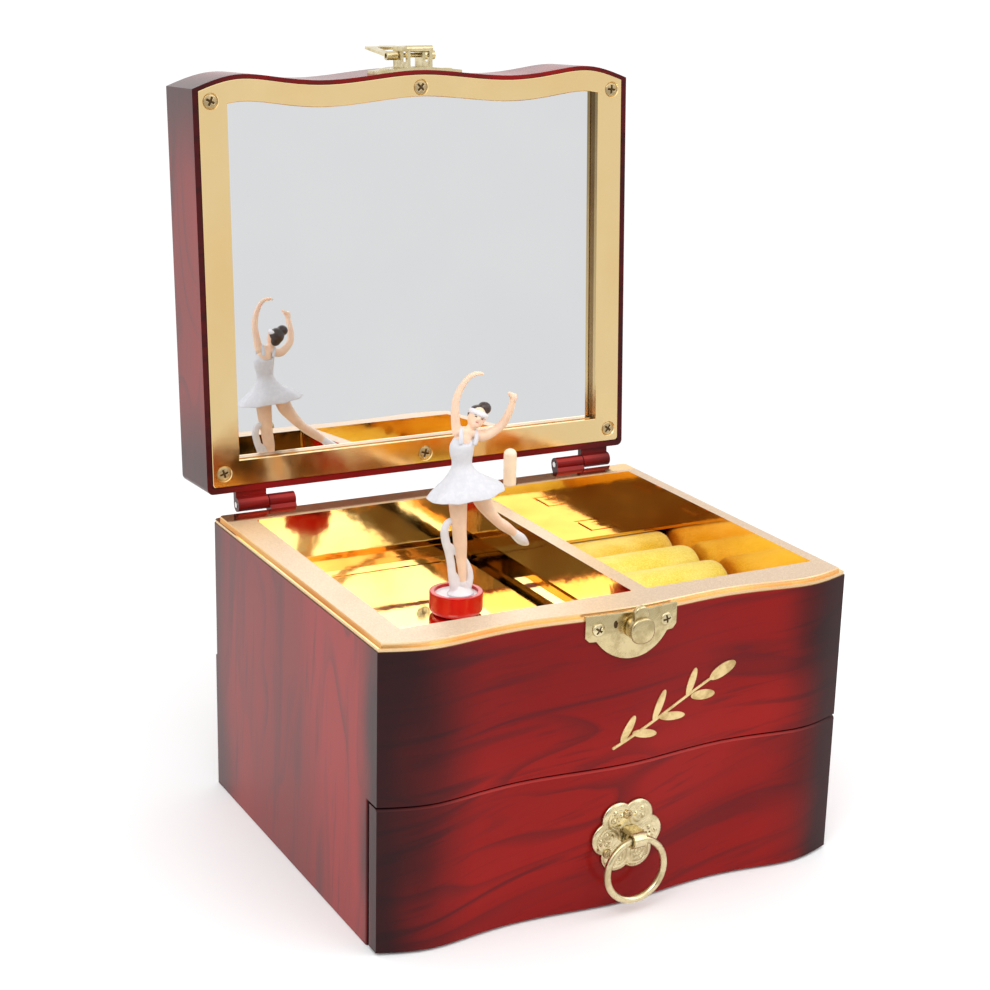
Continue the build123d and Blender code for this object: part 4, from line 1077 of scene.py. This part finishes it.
def make_movement_details():
    """Tune pins on the music cylinder, in 22 rows under the comb's teeth."""
    rng = random.Random(5)
    pins = []
    for _ in range(PIN_COUNT):
        a = rng.uniform(0, math.tau)
        y = -22 + 2.0 * rng.randint(0, 21)
        n = Vector((math.cos(a), 0, math.sin(a)))
        base = Vector((CYLINDER_X, y, CYLINDER_Z)) + n * CYLINDER_RADIUS
        side = n.cross(Vector((0, 1, 0)))
        loops = []
        for r, h in ((0.24, 0.0), (0.22, 0.6), (0.12, 0.95)):
            loops.append([base + n * h + side * (r * math.cos(q)) + Vector((0, 1, 0)) * (r * math.sin(q))
                          for q in (math.tau * k / 6 for k in range(6))])
        pins.append(rings_mesh(loops))
    o = add_object("cylinder_pins", *merge(*pins), smooth=False)
    finish_piece(o, "cylinder", "movement_brass", "movement_brass")


make_dancer()
make_rolls()
make_lining()
make_screws()
make_latch()
make_rosette()
make_movement_details()


# ---- floor, light, camera
FLOOR_HALF = 0.9
FLOOR_FADE = (0.24, 0.46)
CAMERA_SIDE, FLAG_SPREAD = (-0.453, -0.843, 0.291), (0.90, 0.97)
CARD_SIDE, CARD_SPREAD = (0.44, -0.78, 0.44), (0.955, 0.985)


def make_stage():
    """A pale floor that fades out a little way round the box, the studio world and two soft lights."""
    me = bpy.data.meshes.new("floor")
    s = FLOOR_HALF
    me.from_pydata([(-s, -s, 0), (s, -s, 0), (s, s, 0), (-s, s, 0)], [], [(0, 1, 2, 3)])
    floor = place("floor", me)
    floor.location.z = -0.0002
    m = Mat("pale_floor", Roughness=0.7, Specular_IOR_Level=0.1)
    soft = m.noise(m.coords(), 6.0, 2.0)
    m.color(m.mix(soft, (0.955, 0.955, 0.955), (0.975, 0.975, 0.975)))
    p = m.xyz()
    reach = m.math("SQRT", m.math("ADD", m.math("POWER", p["X"], 2.0), m.math("POWER", p["Y"], 2.0)))
    m.link(m.span(reach, *FLOOR_FADE, 1.0, 0.0), m.bsdf.inputs["Alpha"])
    floor.data.materials.append(m.m)

    world = bpy.data.worlds.new("studio")
    bpy.context.scene.world = world
    world.use_nodes = True
    nt = world.node_tree
    nt.nodes.clear()
    out = nt.nodes.new("ShaderNodeOutputWorld")
    bg = nt.nodes.new("ShaderNodeBackground")
    tc = nt.nodes.new("ShaderNodeTexCoord")
    sep = nt.nodes.new("ShaderNodeSeparateXYZ")
    nt.links.new(tc.outputs["Generated"], sep.inputs[0])

    def spread(value, a, b, to0, to1):
        n = nt.nodes.new("ShaderNodeMapRange")
        put(n, From_Min=a, From_Max=b, To_Min=to0, To_Max=to1)
        nt.links.new(value, n.inputs["Value"])
        return n.outputs[0]

    def calc(op, a, b):
        n = nt.nodes.new("ShaderNodeMath")
        n.operation = op
        nt.links.new(a, n.inputs[0])
        nt.links.new(b, n.inputs[1])
        return n.outputs[0]

    def patch(direction, a, b, to0, to1):
        """A round patch of the world about a direction."""
        dot = nt.nodes.new("ShaderNodeVectorMath")
        dot.operation = "DOT_PRODUCT"
        nt.links.new(tc.outputs["Generated"], dot.inputs[0])
        dot.inputs[1].default_value = direction
        return spread(dot.outputs["Value"], a, b, to0, to1)

    sky_y, sky_z = sep.outputs["Y"], sep.outputs["Z"]
    backdrop = spread(sky_y, -0.55, 0.35, 0.80, 1.06)
    canopy = calc("MULTIPLY", spread(sky_z, 0.10, 0.42, 0.0, 0.55), spread(sky_y, 0.05, -0.45, 0.0, 1.0))
    # a dark and a bright patch, set to bring the reflections closer to the photograph's
    black_flag = patch(CAMERA_SIDE, *FLAG_SPREAD, 1.0, 0.15)
    white_card = patch(CARD_SIDE, *CARD_SPREAD, 0.0, 1.3)
    glow = calc("ADD", calc("ADD", backdrop, canopy), white_card)
    nt.links.new(calc("MULTIPLY", glow, black_flag), bg.inputs["Strength"])
    bg.inputs["Color"].default_value = (1.0, 1.0, 1.0, 1.0)
    nt.links.new(bg.outputs[0], out.inputs[0])

    def area(name, loc, target, size, power):
        light = bpy.data.lights.new(name, "AREA")
        light.shape = "RECTANGLE"
        light.size, light.size_y = size
        light.energy = power
        o = place(name, light)
        o.location = loc
        o.rotation_euler = (Vector(target) - Vector(loc)).to_track_quat("-Z", "Y").to_euler()

    area("key_softbox", (-0.75, -0.9, 1.1), (0, 0, 0.08), (0.9, 0.9), 7.5)
    area("fill_softbox", (1.0, -0.5, 0.9), (0, 0, 0.08), (0.8, 0.8), 2.0)
    bpy.context.scene.view_settings.view_transform = "Standard"


CAMERA_DEGREES = (-28.26, 16.94, 1.33)
CAMERA_TARGET = (-12.1, -5.0, 114.17)
CAMERA_DISTANCE = 0.6267
SENSOR_WIDTH = 36.0
FOCAL_PIXELS, PHOTO_PIXELS = 2001.76, 990.0


def make_camera():
    """The camera of the perspective fit: azimuth, elevation and roll round a target."""
    az, el, roll = [math.radians(a) for a in CAMERA_DEGREES]
    target = Vector(CAMERA_TARGET) * MM
    back = Vector((math.sin(az) * math.cos(el), -math.cos(az) * math.cos(el), math.sin(el)))
    right = Vector((0, 0, 1)).cross(back).normalized()
    up = back.cross(right)
    r2 = right * math.cos(roll) + up * math.sin(roll)
    u2 = up * math.cos(roll) - right * math.sin(roll)
    m = Matrix((r2, u2, back)).transposed().to_4x4()
    m.translation = target + back * CAMERA_DISTANCE
    cam = bpy.data.cameras.new("camera")
    cam.lens = SENSOR_WIDTH * FOCAL_PIXELS / PHOTO_PIXELS
    cam.sensor_width = SENSOR_WIDTH
    cam.clip_start = 0.01
    o = place("camera", cam)
    o.matrix_world = m
    bpy.context.scene.camera = o


make_stage()
make_camera()
